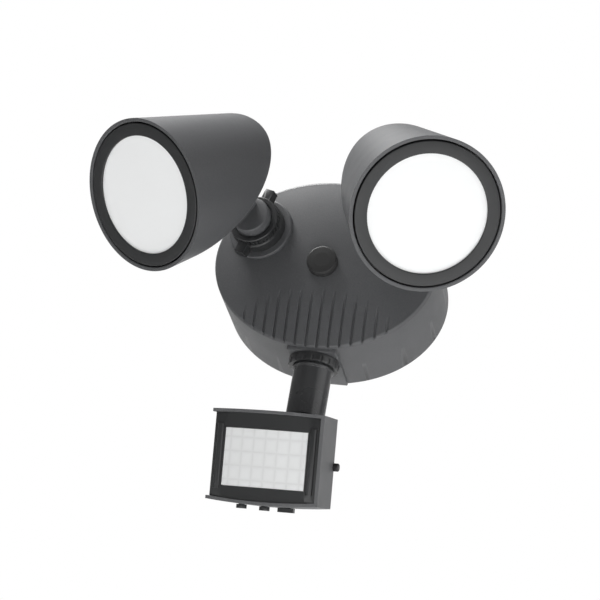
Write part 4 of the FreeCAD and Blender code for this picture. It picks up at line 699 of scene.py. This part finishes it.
# %% Lamp head skin
HEAD_REAR, HEAD_FRONT, HEAD_LENGTH = 39.6, 50.8, 97.6
HEAD_SETBACK, HEAD_RISE = 15.8, 6.7
CUT_SLOPE, CUT_RISE = math.tan(math.radians(43.8)), 39.0
HEAD_WALL = 2.5
BEZEL_DEPTH, LEDGE_DEPTH, LEDGE_WIDTH = 7.0, 2.5, 4.0
RIM = HEAD_LENGTH - HEAD_SETBACK
EAR_SPANS = ((-14.2, -9.2), (-0.8, 4.2))
EAR_RADIUS, EAR_ENDS = 9.0, (34.0, 22.0)


def side_radius(height):
    """The cone's radius grows evenly from its back to its rim."""
    return HEAD_REAR + (HEAD_FRONT - HEAD_REAR) * (height + HEAD_SETBACK) / HEAD_LENGTH


def back_height(radius, angle, inset=0.0):
    """Height of the back: a flat crest and a slanted plane, joined by a soft fold.

    The plane is slope times the distance below the crest; the fold is (s + sqrt(s^2 + 9)) / 2.
    """
    up = radius * np.sin(angle)
    slanted = CUT_SLOPE * (CUT_RISE - up)
    fold = (slanted + np.sqrt(slanted ** 2 + 9.0)) / 2
    return -HEAD_SETBACK + fold + inset


def head_skin(inset=0.0, corner=5.0):
    """Skin of the head, moved in by a wall: side line and back line meet in a rounded corner."""
    angle = around(192)
    edge = np.full_like(angle, HEAD_REAR)
    for _ in range(12):
        edge = side_radius(back_height(edge, angle, inset)) - inset
    meet_z = back_height(edge, angle, inset)
    rows = []
    top = RIM if inset == 0 else RIM - BEZEL_DEPTH
    for share in np.linspace(0, 1, 10)[:-1]:
        z = top + (meet_z + corner - top) * share
        rows.append((side_radius(z) - inset, z))
    for t in np.linspace(0, 1, 8):
        blend = 2 * t * (1 - t)
        r = (1 - t) ** 2 * (side_radius(meet_z + corner) - inset) + blend * edge
        r = r + t ** 2 * (edge - corner)
        z = (1 - t) ** 2 * (meet_z + corner) + blend * meet_z
        z = z + t ** 2 * back_height(edge - corner, angle, inset)
        rows.append((r, z))
    for share in np.linspace(0, 1, 12)[1:]:
        radius = (edge - corner) * (1 - share)
        rows.append((radius, back_height(radius, angle, inset)))
    radius = np.stack([row[0] for row in rows], axis=1)
    height = np.stack([np.broadcast_to(row[1], angle.shape) for row in rows], axis=1)
    points = np.stack(
        [radius * np.cos(angle[:, None]), HEAD_RISE + radius * np.sin(angle[:, None]), height], axis=-1
    )
    return points, True, False, inset == 0


def head_rim():
    """The rim's rounded lip and the inner wall down to the bezel's ledge."""
    outer = side_radius(RIM)
    inner, seat = outer - HEAD_WALL, RIM - BEZEL_DEPTH
    profile = rounded([(outer, RIM), (outer - 0.02, RIM), (inner, RIM), (inner, seat)], 0.8, 4)
    ledge, under = inner - LEDGE_WIDTH, seat - LEDGE_DEPTH
    foot = [(ledge, seat), (ledge, under), (side_radius(under) - HEAD_WALL, under)]
    profile = np.vstack([profile, foot])
    lift = np.eye(4)
    lift[1, 3] = HEAD_RISE
    return moved(turned_surface(profile, 192), lift)


def plate_surfaces(outline, low, high, radius=0.6, steps=3):
    """A plate along X: its outline in (y, z), shrunk by a quarter circle at both faces.

    The outline has to be convex; each ring is the outline moved towards its middle.
    """
    outline = np.asarray(outline, float)
    middle = outline.mean(axis=0)
    reach = np.linalg.norm(outline - middle, axis=1).max()
    bend = np.linspace(0, np.pi / 2, steps + 1)
    steps_in = [(radius * (1 - math.cos(angle)), radius * (1 - math.sin(angle))) for angle in bend]
    first = [(low, None)] + [(low + rise, inset) for rise, inset in steps_in]
    last = [(high - rise, inset) for rise, inset in steps_in[::-1]] + [(high, None)]
    rows = []
    for x, inset in first + last:
        scale = 0.0 if inset is None else 1 - inset / reach
        ring = middle + (outline - middle) * scale
        rows.append(np.column_stack([np.full(len(ring), x), ring]))
    return np.stack(rows), False, True, False


def ear_outline():
    """Round end about the tilt screw, straight sides towards the slanted back."""
    bend = np.linspace(0, np.pi, 25)
    tip = np.column_stack([EAR_RADIUS * np.cos(bend), -EAR_RADIUS * np.sin(bend)])
    far = np.array([(-EAR_RADIUS, EAR_ENDS[0]), (EAR_RADIUS, EAR_ENDS[1])])
    return np.vstack([tip, far])


for side in SIDES:
    surfaces = [head_skin(), head_skin(HEAD_WALL), head_rim()]
    for low, high in EAR_SPANS:
        surfaces.append(plate_surfaces(ear_outline(), low, high))
    name, shell = f"{side}_head_casting", [f"{side}_head_shell"]
    piece = surface_piece(name, surfaces, head_frame(side), "charcoal_paint", f"{side}_head", shell)
    print(piece.name, len(piece.data.polygons), "faces")

# %% [markdown]
# ## Bezel and lens
#
# Inside the rim a flat dark ring holds the lens. Its edges are slightly rounded, which is where it
# catches the light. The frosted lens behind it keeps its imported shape.

# %% Bezel rings
BEZEL_OUTER, WINDOW, SEAT, LENS_RECESS = 47.4, 39.1, 42.2, 1.7


def axis_frame(side):
    """On the head's axis, level with its rim."""
    lift = np.eye(4)
    lift[:3, 3] = (0.0, HEAD_RISE, RIM)
    return head_frame(side) @ lift


def bezel_profile():
    """Back corner, outer wall, rounded face, inner wall and the seat of the lens."""
    outer = [(SEAT, -BEZEL_DEPTH), (BEZEL_OUTER, -BEZEL_DEPTH), (BEZEL_OUTER, 0.0), (WINDOW, 0.0)]
    inner = [(WINDOW, -LENS_RECESS), (SEAT, -LENS_RECESS), (SEAT, -BEZEL_DEPTH)]
    return rounded(outer + inner, 0.7, 4)


for side in SIDES:
    name, ring = f"{side}_bezel_ring", [turned_surface(bezel_profile(), 160)]
    surface_piece(name, ring, axis_frame(side), "bezel_paint", f"{side}_head", [f"{side}_bezel"])
print("bezels made")

# %% [markdown]
# ## Rings, arms, stem and sensor
#
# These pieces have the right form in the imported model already. What they lack is the small rounding
# that real edges have, because a perfectly sharp edge catches no light. Each gets a copy of its own
# mesh with merged corners and a Bevel that only takes edges sharper than 35 degrees.

# %% Copies with softened edges
BODY_OF = {}
for body, members in frame["record"]["behaviour"]["bodies"].items():
    for member in members:
        BODY_OF[member] = body


def softened(name, width):
    """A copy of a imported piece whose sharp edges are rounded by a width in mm."""
    mesh = nodes[name].data.copy()
    mesh.transform(nodes[name].matrix_world)
    piece = bpy.data.objects.new(f"{name}_soft", mesh)
    bpy.context.scene.collection.objects.link(piece)
    tidy_mesh(piece, 30)
    bevel = piece.modifiers.new("soft edges", "BEVEL")
    bevel.width = width * MM
    bevel.segments = 2
    bevel.limit_method = "ANGLE"
    bevel.angle_limit = math.radians(35)
    bevel.harden_normals = True
    return finish_piece(piece, SLOT_OF[name], BODY_OF[name], [name])


SOFT_WIDTHS = {
    "sensor_housing": 0.5, "sensor_front_frame": 0.4, "sensor_lens": 0.15, "sensor_stem": 0.4,
    "sensor_lock_nut": 0.3, "time_knob": 0.25, "range_knob": 0.25, "mode_switch": 0.2, "clamp_bolt": 0.3,
    "clamp_nut": 0.2,
}
for side in SIDES:
    SOFT_WIDTHS.update({f"{side}_arm": 0.4, f"{side}_lock_ring": 0.4, f"{side}_tilt_screw": 0.3})
for name, width in SOFT_WIDTHS.items():
    softened(name, width)
print("softened", len(SOFT_WIDTHS), "pieces")

# %% Give the new pieces their finishes
for piece in bpy.context.scene.objects:
    if piece.type == "MESH" and "finish" in piece:
        piece.data.materials.clear()
        piece.data.materials.append(FINISH[piece["finish"]])
faceted = bpy.data.objects["sensor_lens_soft"]
faceted.data.materials.clear()
faceted.data.materials.append(SENSOR_LENS_FINISH)

# %% [markdown]
# ## Floor, backdrop and light
#
# The light is photographed against white. A floor and a backdrop far behind it do that: their
# material looks plain white to the camera, and stays a pale grey for everything else, so no extra
# light falls on the object.

# %% Floor and backdrop


def backdrop_material():
    """Pale grey that shows as white where the camera sees it, directly or through a clear piece."""
    material = bpy.data.materials.new("white sweep")
    material.use_nodes = True
    tree = material.node_tree
    tree.nodes.clear()
    out = add(tree, "ShaderNodeOutputMaterial")
    path = add(tree, "ShaderNodeLightPath")
    seen = add(tree, "ShaderNodeMath", operation="MAXIMUM")
    tree.links.new(path.outputs["Is Camera Ray"], seen.inputs[0])
    tree.links.new(path.outputs["Is Transmission Ray"], seen.inputs[1])
    plain = add(tree, "ShaderNodeBsdfDiffuse")
    plain.inputs["Color"].default_value = (0.8, 0.8, 0.8, 1.0)
    white = add(tree, "ShaderNodeEmission")
    white.inputs["Color"].default_value = (1.0, 1.0, 1.0, 1.0)
    mix = add(tree, "ShaderNodeMixShader")
    tree.links.new(seen.outputs[0], mix.inputs[0])
    tree.links.new(plain.outputs[0], mix.inputs[1])
    tree.links.new(white.outputs[0], mix.inputs[2])
    tree.links.new(mix.outputs[0], out.inputs[0])
    return material


def flat_sheet(name, corners):
    """One rectangle from four corners in metres."""
    mesh = bpy.data.meshes.new(name)
    mesh.from_pydata(corners, [], [(0, 1, 2, 3)])
    sheet = bpy.data.objects.new(name, mesh)
    bpy.context.scene.collection.objects.link(sheet)
    sheet.data.materials.append(SWEEP)
    sheet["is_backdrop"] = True
    return sheet


SWEEP = backdrop_material()
flat_sheet("floor", [(-4, -4, -0.9), (4, -4, -0.9), (4, 3, -0.9), (-4, 3, -0.9)])
flat_sheet("backdrop", [(-4, 1.6, -0.9), (4, 1.6, -0.9), (4, 1.6, 4), (-4, 1.6, 4)])
print("stage set")

# %% Lights and world


def soft_light(name, location, target, size, power):
    """A square area light that faces a point."""
    lamp = bpy.data.lights.new(name, "AREA")
    lamp.shape = "SQUARE"
    lamp.size = size
    lamp.energy = power
    holder = bpy.data.objects.new(name, lamp)
    bpy.context.scene.collection.objects.link(holder)
    direction = Vector(target) - Vector(location)
    turned = direction.to_track_quat("-Z", "Y").to_matrix().to_4x4()
    holder.matrix_world = Matrix.Translation(location) @ turned
    return holder


MIDDLE = (0.0, -0.1, -0.03)
soft_light("key from above left", (-0.7, -0.25, 1.5), MIDDLE, 0.8, 46)
soft_light("fill from the right", (1.6, -0.5, 0.1), MIDDLE, 1.4, 7)
soft_light("lift from below", (0.2, -0.3, -0.85), MIDDLE, 1.4, 7)
world = bpy.data.worlds.new("studio")
bpy.context.scene.world = world
world.use_nodes = True
world.node_tree.nodes["Background"].inputs["Color"].default_value = (0.9, 0.9, 0.9, 1.0)
world.node_tree.nodes["Background"].inputs["Strength"].default_value = 0.35
bpy.context.scene.view_settings.view_transform = "Standard"
print("lights on")

# %% [markdown]
# ## Camera
#
# The camera stands below the light and a little to its right, turned by ten degrees, with a long
# lens. These numbers come from matching the corners and ovals of the photograph.

# %% Camera
VIEW_AZIMUTH, VIEW_ELEVATION, VIEW_ROLL = np.radians((13.51, -23.26, -10.13))
VIEW_DISTANCE = 1514.34
VIEW_TARGET = np.array([-23.43, -20.0, -11.17])
VIEW_FOCAL_PIXELS = 2096.16
back = np.array([
    math.sin(VIEW_AZIMUTH) * math.cos(VIEW_ELEVATION),
    -math.cos(VIEW_AZIMUTH) * math.cos(VIEW_ELEVATION),
    math.sin(VIEW_ELEVATION),
])
level = np.array([math.cos(VIEW_AZIMUTH), math.sin(VIEW_AZIMUTH), 0.0])
upright = np.cross(back, level)
right = math.cos(VIEW_ROLL) * level - math.sin(VIEW_ROLL) * upright
above = math.sin(VIEW_ROLL) * level + math.cos(VIEW_ROLL) * upright
spot = axes_frame(right, above, back, (VIEW_TARGET + back * VIEW_DISTANCE) * MM)
lens = bpy.data.cameras.new("camera")
lens.sensor_width = 36.0
lens.lens = VIEW_FOCAL_PIXELS / 600 * 36.0
lens.clip_start, lens.clip_end = 0.05, 20.0
camera = bpy.data.objects.new("camera", lens)
bpy.context.scene.collection.objects.link(camera)
camera.matrix_world = Matrix(spot.tolist())
bpy.context.scene.camera = camera
print("camera at", [round(value, 3) for value in camera.location])

# %% Size
low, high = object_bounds()
print("size in metres", [round(high[axis] - low[axis], 4) for axis in range(3)])
